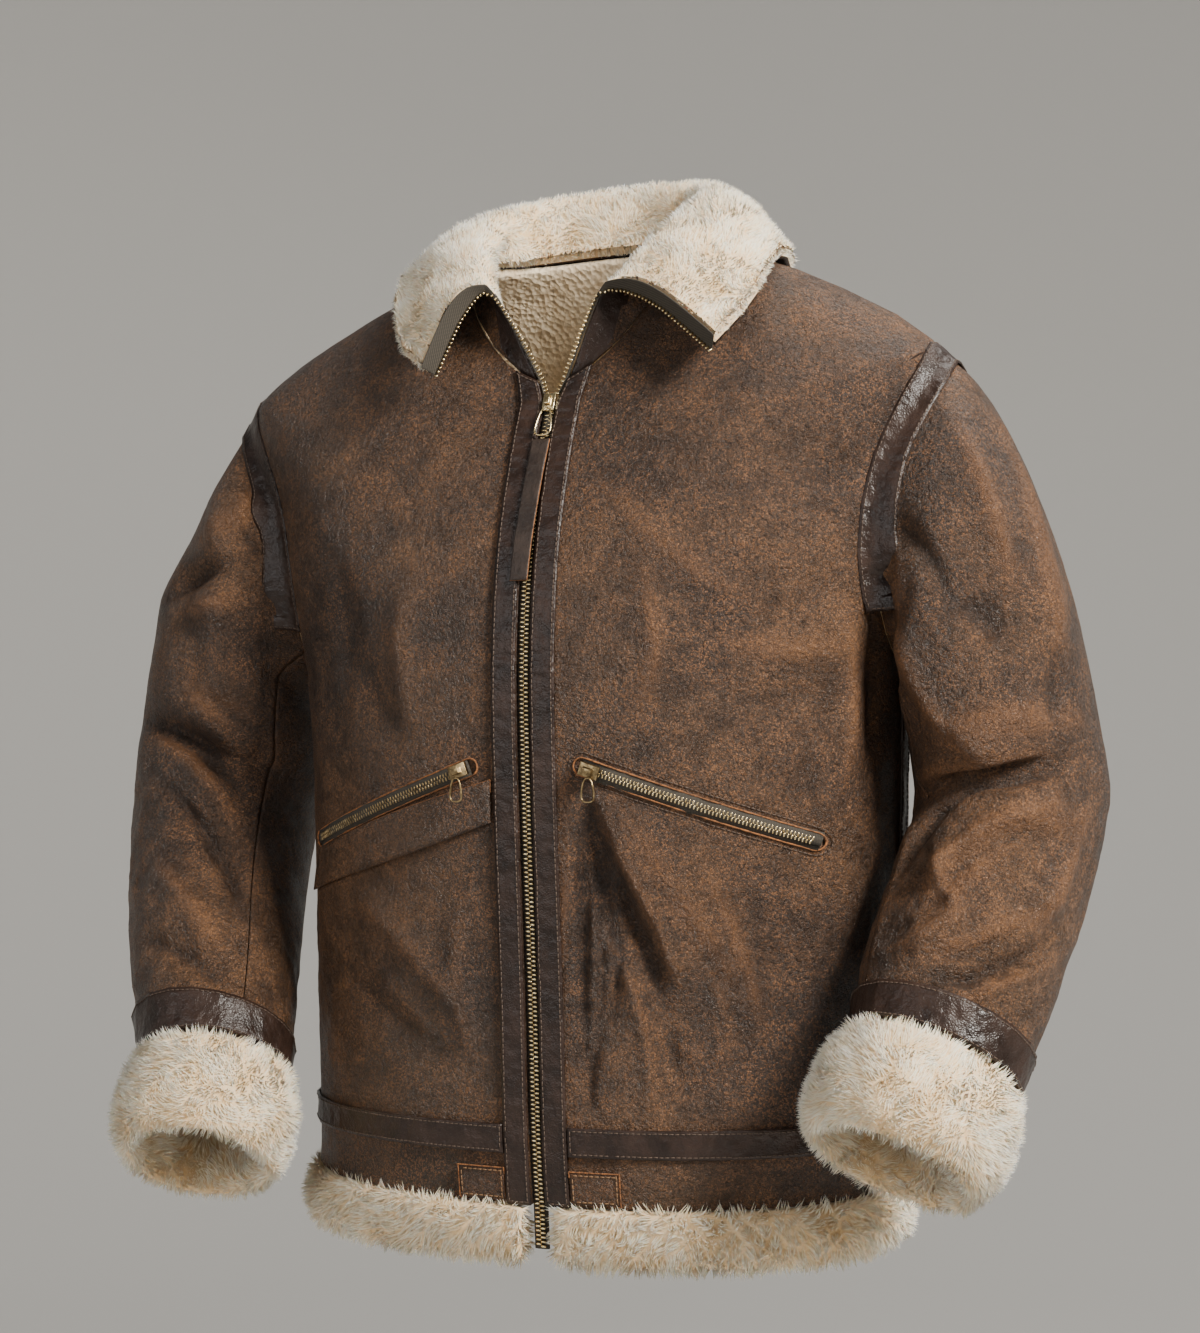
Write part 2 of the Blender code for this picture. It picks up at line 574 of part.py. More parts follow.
def build_cuffs(jacket):
    for side, word in ((1, "left"), (-1, "right")):
        section, (centre, outward, forward, axis, half_width) = sleeve_end(side)

        def place(corner, phi, side=side, section=section, centre=centre,
                  outward=outward, forward=forward, axis=axis, half_width=half_width):
            turn = math.radians(phi)
            point = centre + axis * (corner[0] + CUFF_SEAM)
            point += outward * (half_width + corner[1]) * math.cos(turn)
            point += forward * (section.half_depth + corner[1]) * math.sin(turn)
            return Vector((side * point.x, point.y, point.z))

        rows = list(range(0, 361, 18))
        sweep(f"cuff_fleece_{word}", CUFF_OUTLINE, rows, place, "fleece", jacket, capped=False)


def build_hem_fleece(jacket):
    def place(corner, angle):
        edge = torso(angle, HEM)
        outward = out_of(torso_plain, angle, HEM + 0.1, 0.01, 0.05)
        outward.z = 0
        return edge + outward.normalized() * corner[0] + Vector((0, 0, corner[1] - GAP))

    end = HEM_FRONT_END / TORSO[HEM].half_left
    seam = math.pi / 2
    gap = GAP / 2 / TORSO[HEM].half_left
    pieces = (
        ("left", steps(end, seam - gap, 11)),
        ("back", steps(seam + gap, 3 * math.pi / 2 - gap, 20)),
        ("right", steps(3 * math.pi / 2 + gap, 2 * math.pi - end, 11)),
    )
    for word, angles in pieces:
        sweep(f"hem_fleece_{word}", HEM_OUTLINE, angles, place, "fleece", jacket, capped=True)


COLLAR_STATIONS = [0, 0.25] + steps(0.75, 9.25, 20) + [9.75, 10]
COLLAR_SHARES = steps(0, 1, 10)


def build_collar(jacket):
    wall("collar", COLLAR_STATIONS, COLLAR_SHARES, collar, (0, 1), "fleece", jacket)


ARMHOLE_TAPE_PHIS = list(range(-126, 127, 18))
CREST = 0.0014  # more lift where the armhole tapes cross the shoulder seam
SIDE_TAPE_LEVELS = [WAIST_TAPE[1] + 0.005, *LEVELS[1:12], ARMPIT - 0.04]


def build_tapes(jacket):
    """The dark leather tapes that cover the seams, laid on the panels' own corners."""

    def tape(name, columns, rows, place):
        wall(name, columns, rows, place, (LIFT, LIFT + TRIM), "trim_leather", jacket)

    waist = (WAIST_TAPE[0], WAIST_SEAM, WAIST_TAPE[1])
    for side, word, columns in ((1, "left", LEFT_COLUMNS), (-1, "right", RIGHT_COLUMNS)):

        def on_front(column, level, out, side=side):
            # The waist tape starts beside the placket, a seam's gap from it
            start = 2 * GAP / 0.2 if column == 0 and level in waist else 0
            return torso(side * (front_angle(column, level, side) + start), level, out)

        def placket(column, level, out, side=side):
            return torso(side * front_angle(column, level, side), level, out)

        tape(f"placket_{word}", (EDGE, 0), BAND_LEVELS[:-1] + LEVELS, placket)
        tape(f"waist_tape_{word}", columns[1:], waist, on_front)

        def round_armhole(row, phi, out, side=side):
            """Three rows: on the body, over the seam and on the sleeve."""
            crest = CREST if abs(phi) <= 18 else 0
            if row == "sleeve":
                return sleeve(side, phi, SLEEVE_ROWS[1], out + crest)
            angle, level = armhole(phi % 360)
            if row == "seam":
                return torso(side * angle, level, out + LIFT + crest)
            if phi == 0:
                return torso(side * angle, TAPE_CREST, out + crest)
            if phi > 0:
                return torso(side * front_angle(1, level, side), level, out + crest)
            return torso(back_angle(0 if side > 0 else 1, level), level, out + crest)

        tape(f"armhole_tape_{word}", ("body", "seam", "sleeve"), ARMHOLE_TAPE_PHIS,
             round_armhole)

        def down_side(column, level, out, side=side):
            angles = {
                "front": side * front_angle(1, level, side),
                "seam": side * math.pi / 2,
                "back": back_angle(0 if side > 0 else 1, level),
            }
            return torso(angles[column], level, out)

        tape(f"side_tape_{word}", ("front", "seam", "back"), SIDE_TAPE_LEVELS, down_side)

        def round_cuff(station, phi, out, side=side):
            return sleeve(side, phi, station, out)

        tape(f"cuff_tape_{word}", SLEEVE_ROWS[-2:], list(range(0, 361, 18)), round_cuff)

    tape("waist_tape_back", BACK_COLUMNS, waist,
         lambda column, level, out: torso(back_angle(column, level), level, out))


PATCH = (0.0008, 0.0020)  # between these distances out lie the patches and the facing


def build_patches(jacket):
    for side, word in ((1, "left"), (-1, "right")):
        wall(f"hem_patch_{word}", steps(*PATCH_X, 2), steps(*PATCH_Z, 1),
             lambda x, z, out, side=side: front_at(side * x, z, out),
             PATCH, "patch_leather", jacket)

    def facing(along, across, out):
        at = spline(FACING_LOWER, along).lerp(spline(FACING_UPPER, along), across)
        return front_at(at.x, at.y, out + LIFT)

    wall("pocket_facing_right", steps(0, 2, 8), steps(0, 1, 2), facing, PATCH, "leather",
         jacket)


def cloth_frame(x, z):
    """Axes on the front at x and z: across, up the cloth and out."""
    point = front_at(x, z)
    across = front_at(x + 0.004, z) - front_at(x - 0.004, z)
    up = front_at(x, z + 0.004) - front_at(x, z - 0.004)
    out = across.cross(up).normalized()
    across = up.cross(out).normalized()
    up = out.cross(across)
    axes = Matrix((across, up, out)).transposed().to_4x4()
    return Matrix.Translation(point) @ axes


def build_slider(name, frame, jacket):
    """A slider whose lug stands only on the middle of its width."""

    def place(corner, across):
        along, out = corner
        if abs(across) > LUG_HALF:
            out = min(out, SLIDER_TOP)
        return frame @ Vector((across, along, out))

    shoulder = LUG_HALF + 0.0002
    rows = [-SLIDER_HALF, -shoulder, -LUG_HALF, LUG_HALF, shoulder, SLIDER_HALF]
    sweep(name, SLIDER_PROFILE, rows, place, "brass", jacket, capped=True)


def build_pull(name, frame, pull, jacket):
    """A wire pull, closed round. It hangs straight down, or lies on cloth that is in its way."""
    hang = frame.to_3x3().inverted() @ Vector((0, 0, -1))
    if hang.z < 0:
        hang = Vector((0, -1, RISE)).normalized()
    half, foot = pull.top, pull.bottom
    corners = [(-half, 0), (half, 0), (foot, 0.7), (foot, 1), (-foot, 1), (-foot, 0.7)]
    curve = bpy.data.curves.new(name, "CURVE")
    curve.dimensions = "3D"
    curve.bevel_depth = WIRE
    curve.bevel_resolution = 2
    line = curve.splines.new("POLY")
    line.points.add(len(corners) - 1)
    for point, (across, down) in zip(line.points, corners):
        local = Vector((across, pull.pivot_up, pull.pivot_out)) + hang * down * pull.length
        point.co = (*(frame @ local), 1)
    line.use_cyclic_u = True
    obj = bpy.data.objects.new(name, curve)
    curve.materials.append(material_of("brass"))
    jacket.objects.link(obj)


def build_zips(jacket):
    slider = torso(0, SLIDER_LEVEL)
    levels = [CHAIN_FOOT] + BAND_LEVELS[:-1] + [at for at in LEVELS if at < SLIDER_LEVEL - 0.1]

    def closed(corner, level):
        across, out = corner
        side = 1 if across > 0 else -1
        return torso(across / ring_at(level, side)[1], level, out)

    sweep("main_zip", MAIN_ZIP_OUTLINE, levels + [SLIDER_LEVEL], closed, "brass", jacket,
          capped=True)

    # Above the slider each side goes up its front edge and on round the collar's end
    rows = [("front", SLIDER_LEVEL + 0.24), ("front", 8.75), ("front", NECK - 0.02)]
    rows += [("collar", share) for share in [0.04] + COLLAR_SHARES[1:]]
    for side, word, end, inner in ((1, "left", LAST_LEAF, -0.3), (-1, "right", 0, 0.3)):

        def opened(corner, row, side=side, end=end, inner=inner):
            share, off = corner
            part, at = row
            if part == "front":
                half_width = ring_at(at, side)[1]
                angle = side * (zip_edge(at) - off) / half_width
                return torso(angle, at, -share * HIDE)
            along = (collar(end, at + 0.02) - collar(end, at - 0.02)).normalized()
            away = collar(end, at) - collar(end + inner, at)
            thick = (collar(end, at, 1) - collar(end, at)).normalized()
            away -= along * away.dot(along) + thick * away.dot(thick)
            return collar(end, at, share) + away.normalized() * off

        sweep(f"zip_side_{word}", OPEN_ZIP_OUTLINE, rows, opened, "zip_tape", jacket,
              capped=True)

        def pocket(corner, along, side=side):
            across, out = corner
            start, end = Vector(POCKET_IN), Vector(POCKET_OUT)
            line = (end - start).normalized()
            at = start.lerp(end, along) + Vector((-line.y, line.x)) * across
            return front_at(side * at.x, at.y, out)

        sweep(f"pocket_zip_{word}", POCKET_ZIP_OUTLINE, steps(0, 1, 8), pocket, "brass",
              jacket, capped=True)
        x, z = Vector(POCKET_IN).lerp(Vector(POCKET_OUT), POCKET_SLIDER_AT)
        slope = math.atan2(POCKET_OUT[1] - POCKET_IN[1], POCKET_OUT[0] - POCKET_IN[0])
        raised = cloth_frame(side * x, z) @ Matrix.Translation((0, 0, POCKET_SLIDER_RAISE))
        along_zip = Matrix.Rotation(side * slope + math.pi / 2, 4, "Z")
        build_slider(f"pocket_slider_{word}", raised @ along_zip, jacket)
        build_pull(f"pocket_pull_{word}", raised, PULLS["pocket"], jacket)

    frame = cloth_frame(0, slider.z)
    build_slider("zip_slider", frame, jacket)
    build_pull("zip_pull", frame, PULLS["main"], jacket)

    pull = PULLS["main"]
    top = slider.z + pull.pivot_up - pull.length - WIRE - 2 * GAP

    def strap(across, down, out):
        return front_at(across - STRAP_DRIFT * down, top - STRAP_LENGTH * down, out)

    wall("pull_strap", steps(-STRAP_HALF, STRAP_HALF, 2), steps(1, 0, 8), strap,
         STRAP_LAYER, "trim_leather", jacket)


def build_all():
    for obj in list(bpy.data.objects):
        bpy.data.objects.remove(obj)
    jacket = bpy.data.collections.new("shearling_jacket")
    bpy.context.scene.collection.children.link(jacket)
    build_torso(jacket)
    build_sleeves(jacket)
    build_cuffs(jacket)
    build_hem_fleece(jacket)
    build_collar(jacket)
    build_tapes(jacket)
    build_patches(jacket)
    build_zips(jacket)


build_all()
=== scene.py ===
# %% [markdown]
# # A shearling aviator jacket
#
# A shearling jacket is sewn from sheepskins with the wool still on them. The skin side faces
# out and looks like old brown leather. The wool lines the inside, and shows where the skin is
# turned over: on the collar, at the cuffs and along the hem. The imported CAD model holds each
# piece as a plain wall in its true place. This lesson gives those walls their creases, wool,
# seams, zips and finishes.

import math
from collections import namedtuple

import bmesh
import bpy
import numpy as np
from mathutils import Matrix, Vector, noise
from mathutils.bvhtree import BVHTree
from mathutils.kdtree import KDTree


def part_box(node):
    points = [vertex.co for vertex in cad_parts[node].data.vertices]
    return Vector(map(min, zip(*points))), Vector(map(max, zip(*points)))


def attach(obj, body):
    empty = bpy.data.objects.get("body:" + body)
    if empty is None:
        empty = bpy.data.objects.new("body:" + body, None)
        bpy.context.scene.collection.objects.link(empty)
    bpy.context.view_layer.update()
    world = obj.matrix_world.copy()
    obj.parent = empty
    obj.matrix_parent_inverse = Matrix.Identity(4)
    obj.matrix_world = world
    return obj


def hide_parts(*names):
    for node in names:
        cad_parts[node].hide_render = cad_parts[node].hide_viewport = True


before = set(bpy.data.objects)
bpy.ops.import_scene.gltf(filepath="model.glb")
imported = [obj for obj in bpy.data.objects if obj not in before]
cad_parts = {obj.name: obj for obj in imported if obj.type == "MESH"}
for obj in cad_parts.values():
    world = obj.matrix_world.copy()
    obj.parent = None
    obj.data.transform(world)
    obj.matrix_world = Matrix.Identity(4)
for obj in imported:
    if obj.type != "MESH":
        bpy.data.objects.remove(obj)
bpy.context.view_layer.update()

# %% [markdown]
# ## The camera
#
# The jacket is seen from its front and a little from the wearer's left, from just below the
# chest. A fitted camera is stated by its distance, its height and the way it is turned. Its
# lens is stated by how many pixels a metre covers at one metre.

# %% Camera
PHOTO_WIDTH, PHOTO_HEIGHT = 1200, 1333
CAMERA_AZIMUTH = math.radians(22.9)  # round the jacket, from straight in front of it
CAMERA_DISTANCE, CAMERA_HEIGHT = 1.65, -0.360
CAMERA_TURN, CAMERA_TILT, CAMERA_ROLL = (math.radians(v) for v in (-0.12, -1.90, -0.69))
FOCAL_PIXELS = 2246
SENSOR_WIDTH = 36.0


def camera_axes():
    """The camera's right, up and forward vectors."""
    heading = CAMERA_AZIMUTH + CAMERA_TURN
    level = math.cos(CAMERA_TILT)
    forward = Vector((-math.sin(heading) * level, math.cos(heading) * level, -math.sin(CAMERA_TILT)))
    flat_right = Vector((math.cos(heading), math.sin(heading), 0))
    flat_up = flat_right.cross(forward)
    right = flat_right * math.cos(CAMERA_ROLL) + flat_up * math.sin(CAMERA_ROLL)
    return right, right.cross(forward), forward


camera_data = bpy.data.cameras.new("camera")
camera = bpy.data.objects.new("camera", camera_data)
bpy.context.scene.collection.objects.link(camera)
bpy.context.scene.camera = camera
camera_place = Vector((math.sin(CAMERA_AZIMUTH), -math.cos(CAMERA_AZIMUTH), 0)) * CAMERA_DISTANCE
camera_place.z = CAMERA_HEIGHT
right, up, forward = camera_axes()
camera.matrix_world = Matrix.Translation(camera_place) @ Matrix((right, up, -forward)).transposed().to_4x4()
camera_data.sensor_fit = "HORIZONTAL"
camera_data.sensor_width = SENSOR_WIDTH
camera_data.lens = FOCAL_PIXELS / PHOTO_WIDTH * SENSOR_WIDTH
print("lens", round(camera_data.lens, 1), "mm")

# %% [markdown]
# ## Finishes
#
# Every finish is a Principled shader fed by procedural patterns in object coordinates, which
# are metres here. A pattern's scale is then easy to choose: a scale of 100 repeats about
# every centimetre. Two helpers keep the node trees short.


# %% Helpers for node trees
def add(tree, kind, settings=None, **inputs):
    """Adds a shader node. Inputs are values, or sockets of other nodes to link."""
    made = tree.nodes.new("ShaderNode" + kind)
    for key, value in (settings or {}).items():
        setattr(made, key, value)
    for key, value in inputs.items():
        socket = made.inputs[key.replace("_", " ")]
        if isinstance(value, bpy.types.NodeSocket):
            tree.links.new(value, socket)
        else:
            socket.default_value = value
    return made


def ramp(tree, factor, *stops):
    """A colour ramp's colour, from (position, colour) stops. A colour may be one grey value."""
    made = add(tree, "ValToRGB", Fac=factor)
    elements = made.color_ramp.elements
    while len(elements) < len(stops):
        elements.new(0.5)
    for element, (position, colour) in zip(elements, stops):
        element.position = position
        element.color = (colour,) * 3 + (1,) if isinstance(colour, float) else (*colour, 1)
    return made.outputs["Color"]


def mix(tree, factor, low, high, kind="MIX"):
    """Two colours mixed, each a colour or a socket."""
    made = tree.nodes.new("ShaderNodeMix")
    made.data_type = "RGBA"
    made.blend_type = kind
    for index, value in ((0, factor), (6, low), (7, high)):
        if isinstance(value, bpy.types.NodeSocket):
            tree.links.new(value, made.inputs[index])
        else:
            made.inputs[index].default_value = (*value, 1) if index else value
    return made.outputs[2]


def times(tree, first, second, operation="MULTIPLY"):
    """Two numbers multiplied, or joined by another operation."""
    made = add(tree, "Math", {"operation": operation})
    for socket, value in zip(made.inputs, (first, second)):
        if isinstance(value, bpy.types.NodeSocket):
            tree.links.new(value, socket)
        else:
            socket.default_value = value
    return made.outputs[0]


def new_finish(name):
    """A material, its tree, its shader and the object coordinates."""
    material = bpy.data.materials.new(name)
    material.use_nodes = True
    tree = material.node_tree
    place = add(tree, "TexCoord").outputs["Object"]
    return material, tree, tree.nodes["Principled BSDF"], place


def finish_bump(tree, shader, strength, *layers):
    """Stacks bump layers, each a (height, distance in metres)."""
    normal = None
    for height, distance in layers:
        made = add(tree, "Bump", Strength=strength, Distance=distance, Height=height)
        if normal:
            tree.links.new(normal, made.inputs["Normal"])
        normal = made.outputs["Normal"]
    tree.links.new(normal, shader.inputs["Normal"])


# %% [markdown]
# ### Old brown leather
#
# The skin is brown with rubbed rust-orange flecks, darker worn patches and a net of fine
# cracks between its pebbles. The creases carry a value called relief on every corner of the
# mesh: it is above nought on a ridge, which rubs to a warmer colour, and below it in a
# trough, which is painted darker as shade. Cloudy noise at three sizes does the rest.


# %% Leather
def leather_finish(name, dark, middle, warm, rust, flecks):
    material, tree, shader, place = new_finish(name)
    clouds = add(tree, "TexNoise", Vector=place, Scale=7.0, Detail=5.0, Roughness=0.60).outputs["Fac"]
    patches = add(tree, "TexNoise", Vector=place, Scale=36.0, Detail=9.0, Roughness=0.72).outputs["Fac"]
    lines = add(tree, "TexNoise", Vector=place, Scale=120.0, Detail=4.0, Roughness=0.55).outputs["Fac"]
    warp = add(tree, "TexNoise", Vector=place, Scale=380.0, Detail=2.0).outputs["Color"]
    bent = mix(tree, 0.0030, place, warp, "ADD")
    cells = add(tree, "TexVoronoi", Vector=bent, Scale=880.0).outputs["Color"]
    edges = add(tree, "TexVoronoi", {"feature": "DISTANCE_TO_EDGE"}, Vector=bent, Scale=880.0)
    relief = add(tree, "Attribute", {"attribute_name": "relief"}).outputs["Fac"]
    colour = ramp(tree, clouds, (0.38, dark), (0.50, middle), (0.64, warm))
    dirt = ramp(tree, patches, (0.38, 1.0), (0.54, 0.0))
    colour = mix(tree, times(tree, dirt, 0.50), colour, tuple(v * 0.50 for v in dark))
    tone = ramp(tree, cells, (0.22, 0.48), (0.48, 0.92), (0.78, 1.0))
    colour = mix(tree, 1.0, colour, tone, "MULTIPLY")
    rubbed = ramp(tree, cells, (0.54, 0.0), (0.70, 1.0))
    rubbed = times(tree, rubbed, ramp(tree, patches, (0.42, 0.15), (0.58, 1.0)))
    colour = mix(tree, times(tree, rubbed, flecks), colour, rust)
    colour = mix(tree, times(tree, relief, 0.30), colour, rust)
    # Painted shade: below nought the relief darkens the colour, as shade in a crease's trough.
    trough = times(tree, times(tree, relief, -1.0), 0.60)
    colour = mix(tree, trough, colour, tuple(v * 0.40 for v in dark))
    cracks = ramp(tree, edges.outputs["Distance"], (0.0, 0.35), (0.10, 1.0))
    colour = mix(tree, 1.0, colour, cracks, "MULTIPLY")
    tree.links.new(colour, shader.inputs["Base Color"])
    gloss = ramp(tree, patches, (0.40, 0.36), (0.60, 0.54))
    tree.links.new(gloss, shader.inputs["Roughness"])
    pebble = ramp(tree, edges.outputs["Distance"], (0.0, 0.0), (0.25, 1.0))
    folds = ramp(tree, lines, (0.40, 1.0), (0.48, 0.25), (0.50, 0.0), (0.52, 0.25), (0.60, 1.0))
    finish_bump(tree, shader, 0.9, (patches, 0.0022), (folds, 0.0013), (pebble, 0.00060))
    return material


body_leather = leather_finish(
    "body_leather", (0.058, 0.031, 0.018), (0.104, 0.053, 0.027), (0.165, 0.082, 0.037),
    (0.320, 0.138, 0.050), 0.55)
patch_leather = leather_finish(
    "patch_leather", (0.075, 0.034, 0.016), (0.110, 0.050, 0.022), (0.150, 0.068, 0.028),
    (0.260, 0.105, 0.036), 0.4)


# %% [markdown]
# ### Dark trim leather
#
# The tapes over the seams are thin, smooth and nearly black, with more gloss than the body.
# Sewing puckers them, so a stretched noise raises short ripples across each one.


# %% Trim leather
def trim_finish(name, dark, light, roughness):
    material, tree, shader, place = new_finish(name)
    clouds = add(tree, "TexNoise", Vector=place, Scale=40.0, Detail=6.0, Roughness=0.6)
    grain = add(tree, "TexVoronoi", {"feature": "DISTANCE_TO_EDGE"}, Vector=place, Scale=620.0)
    puckers = add(tree, "TexNoise", Vector=place, Scale=170.0, Detail=3.0)
    colour = ramp(tree, clouds.outputs["Fac"], (0.35, dark), (0.70, light))
    tree.links.new(colour, shader.inputs["Base Color"])
    shader.inputs["Specular IOR Level"].default_value = 0.32
    gloss = ramp(tree, clouds.outputs["Fac"], (0.3, roughness), (0.7, roughness + 0.16))
    tree.links.new(gloss, shader.inputs["Roughness"])
    finish_bump(tree, shader, 0.55, (puckers.outputs["Fac"], 0.0026), (grain.outputs["Distance"], 0.0006))
    return material


trim_leather = trim_finish("trim_leather", (0.014, 0.0080, 0.0060), (0.038, 0.021, 0.015), 0.26)
strap_leather = trim_finish("strap_leather", (0.022, 0.015, 0.012), (0.050, 0.034, 0.026), 0.42)


# %% [markdown]
# ### Cut edges, thread, tape and brass
#
# Where leather is cut and left raw, its fibres show orange. The zip's tape is woven, and its
# brass has darkened in every corner that a finger doesn't rub.


# %% Small finishes
def plain_finish(name, low, high, scale, roughness, bump=0.0006, metallic=0.0):
    """A finish that only varies between two colours."""
    material, tree, shader, place = new_finish(name)
    clouds = add(tree, "TexNoise", Vector=place, Scale=scale, Detail=6.0, Roughness=0.65)
    colour = ramp(tree, clouds.outputs["Fac"], (0.35, low), (0.65, high))
    tree.links.new(colour, shader.inputs["Base Color"])
    shader.inputs["Roughness"].default_value = roughness
    shader.inputs["Metallic"].default_value = metallic
    finish_bump(tree, shader, 0.5, (clouds.outputs["Fac"], bump))
    return material


raw_edge = plain_finish("raw_edge", (0.07, 0.030, 0.013), (0.36, 0.14, 0.045), 420.0, 0.9)
dark_thread = plain_finish("dark_thread", (0.05, 0.032, 0.022), (0.10, 0.065, 0.045), 900.0, 0.6)
tan_thread = plain_finish("tan_thread", (0.16, 0.085, 0.040), (0.27, 0.15, 0.07), 900.0, 0.6)
brass = plain_finish("antique_brass", (0.46, 0.33, 0.15), (0.90, 0.75, 0.46), 260.0, 0.26,
                     0.0002, 1.0)
dark_brass = plain_finish("dark_brass", (0.10, 0.068, 0.034), (0.42, 0.31, 0.16), 260.0, 0.34,
                          0.0002, 1.0)


def tape_finish():
    """Woven tape: two fine wave patterns that cross."""
    material, tree, shader, place = new_finish("zip_tape")
    colour = None
    for direction in ("X", "Z"):
        waves = add(tree, "TexWave", {"bands_direction": direction}, Vector=place, Scale=330.0,
                    Distortion=0.6)
        colour = waves.outputs["Fac"] if colour is None else times(tree, colour, waves.outputs["Fac"])
    shade = ramp(tree, colour, (0.0, (0.022, 0.018, 0.013)), (0.8, (0.075, 0.062, 0.044)))
    tree.links.new(shade, shader.inputs["Base Color"])
    shader.inputs["Roughness"].default_value = 0.85
    finish_bump(tree, shader, 0.4, (colour, 0.0004))
    return material


zip_tape = tape_finish()


# %% [markdown]
# ### Wool
#
# Fleece is cream at its tips and darker tan down at its roots: a painted shade, where the
# fibres crowd together. Each lock carries a value called tip, nought at its root and one at its
# end, and a value called lock, which differs from one to the next. Light passes a little way into the
# fibres, so the shader has some subsurface scattering and a soft sheen.


# %% Wool finishes
def wool_finish(name, root, body, tips, scatter):
    material, tree, shader, place = new_finish(name)
    clouds = add(tree, "TexNoise", Vector=place, Scale=60.0, Detail=5.0, Roughness=0.6)
    tip = add(tree, "Attribute", {"attribute_name": "tip"}).outputs["Fac"]
    lock = add(tree, "Attribute", {"attribute_name": "lock"}).outputs["Fac"]
    # Painted shade: the colour darkens from the tips down to the roots, where the locks crowd.
    colour = ramp(tree, tip, (0.0, root), (0.45, body), (1.0, tips))
    tone = times(tree, times(tree, lock, 0.12), 0.90, "ADD")
    colour = mix(tree, 1.0, colour, ramp(tree, tone, (0.0, 0.0), (1.0, 1.0)), "MULTIPLY")
    stain_and_shade = ramp(tree, clouds.outputs["Fac"], (0.36, (0.94, 0.85, 0.72)), (0.56, 1.0))
    colour = mix(tree, 1.0, colour, stain_and_shade, "MULTIPLY")
    tree.links.new(colour, shader.inputs["Base Color"])
    shader.inputs["Roughness"].default_value = 0.95
    shader.inputs["Specular IOR Level"].default_value = 0.15
    shader.inputs["Sheen Weight"].default_value = 0.35
    shader.inputs["Sheen Roughness"].default_value = 0.5
    shader.inputs["Subsurface Weight"].default_value = scatter
    shader.inputs["Subsurface Radius"].default_value = (0.006, 0.004, 0.0025)
    finish_bump(tree, shader, 0.5, (clouds.outputs["Fac"], 0.002))
    return material


long_wool = wool_finish("long_wool", (0.86, 0.66, 0.42), (0.95, 0.83, 0.62), (0.99, 0.935, 0.80), 0.3)


def clipped_wool_finish():
    """The lining: short wool, too low to need locks, so bump alone draws it."""
    material, tree, shader, place = new_finish("clipped_wool")
    tufts = add(tree, "TexVoronoi", Vector=place, Scale=240.0, Randomness=1.0)
    clouds = add(tree, "TexNoise", Vector=place, Scale=30.0, Detail=6.0, Roughness=0.7)
    colour = ramp(tree, clouds.outputs["Fac"], (0.35, (0.64, 0.49, 0.31)), (0.65, (0.86, 0.73, 0.53)))
    tree.links.new(colour, shader.inputs["Base Color"])
    shader.inputs["Roughness"].default_value = 0.95
    shader.inputs["Sheen Weight"].default_value = 0.3
    finish_bump(tree, shader, 0.8, (clouds.outputs["Fac"], 0.004), (tufts.outputs["Distance"], 0.002))
    return material


clipped_wool = clipped_wool_finish()
print("finishes:", len(bpy.data.materials))

# %% [markdown]
# ## From a CAD wall to a fine shell
#
# A leather panel is a wall of flat facets in the CAD model. A copy of it is merged, its
# triangles are paired into quads, and a Subdivision Surface rounds it. Without care that
# would also round its cut edges away, so every edge of the rim is creased first. The two
# skins are found as the largest groups of faces that no sharp edge parts: what is left
# between them is the rim.


# %% Helpers for shells
OUTER, INNER, RIM = 0, 1, 2  # the material slots of a shell
HIDE = 0.005  # the skin with its clipped wool
RIM_ANGLE = math.radians(50)  # a rim's edges are sharper than this


def select_only(obj):
    for other in bpy.context.selected_objects:
        other.select_set(False)
    obj.select_set(True)
    bpy.context.view_layer.objects.active = obj


def apply_modifier(obj, kind, **settings):
    """Adds a modifier, sets it and applies it."""
    select_only(obj)
    modifier = obj.modifiers.new(kind, kind)
    for key, value in settings.items():
        setattr(modifier, key, value)
    bpy.ops.object.modifier_apply(modifier=modifier.name)


def merged_copy(node):
    """A bmesh of a CAD node, merged, with its triangles paired into quads."""
    bm = bmesh.new()
    bm.from_mesh(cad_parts[node].data)
    bmesh.ops.remove_doubles(bm, verts=bm.verts, dist=1e-6)
    bmesh.ops.join_triangles(bm, faces=bm.faces, angle_face_threshold=0.8, angle_shape_threshold=1.2)
    bm.normal_update()
    bm.faces.ensure_lookup_table()
    return bm


def object_from(name, bm, *materials):
    mesh = bpy.data.meshes.new(name)
    bm.to_mesh(mesh)
    bm.free()
    mesh.shade_smooth()
    obj = bpy.data.objects.new(name, mesh)
    for material in materials:
        mesh.materials.append(material)
    bpy.context.scene.collection.objects.link(obj)
    return obj


def dress(obj, body="jacket", stands_for=None):
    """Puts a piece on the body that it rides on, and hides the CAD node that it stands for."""
    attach(obj, body)
    if stands_for:
        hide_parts(stands_for)
    return obj


def skin_groups(bm, sharpest, wall):
    """The groups of faces that join with no edge sharper than an angle, largest first. Where
    a wall's thickness is given, only faces with another one behind them at that distance
    count, which suits a narrow tape that twists."""
    groups, left = [], set(bm.faces)
    if wall:
        tree = BVHTree.FromBMesh(bm)
        left.clear()
        for face in bm.faces:
            start = face.calc_center_median() - face.normal * wall * 0.25
            _, normal, _, distance = tree.ray_cast(start, -face.normal, wall * 1.5)
            if distance and normal.dot(face.normal) < -0.7:
                left.add(face)
    while left:
        group, stack = [], [left.pop()]
        while stack:
            face = stack.pop()
            group.append(face)
            for edge in face.edges:
                if edge.calc_face_angle(math.pi) < sharpest:
                    joined = [other for other in edge.link_faces if other in left]
                    left.difference_update(joined)
                    stack += joined
        groups.append(group)
    return sorted(groups, key=len, reverse=True)


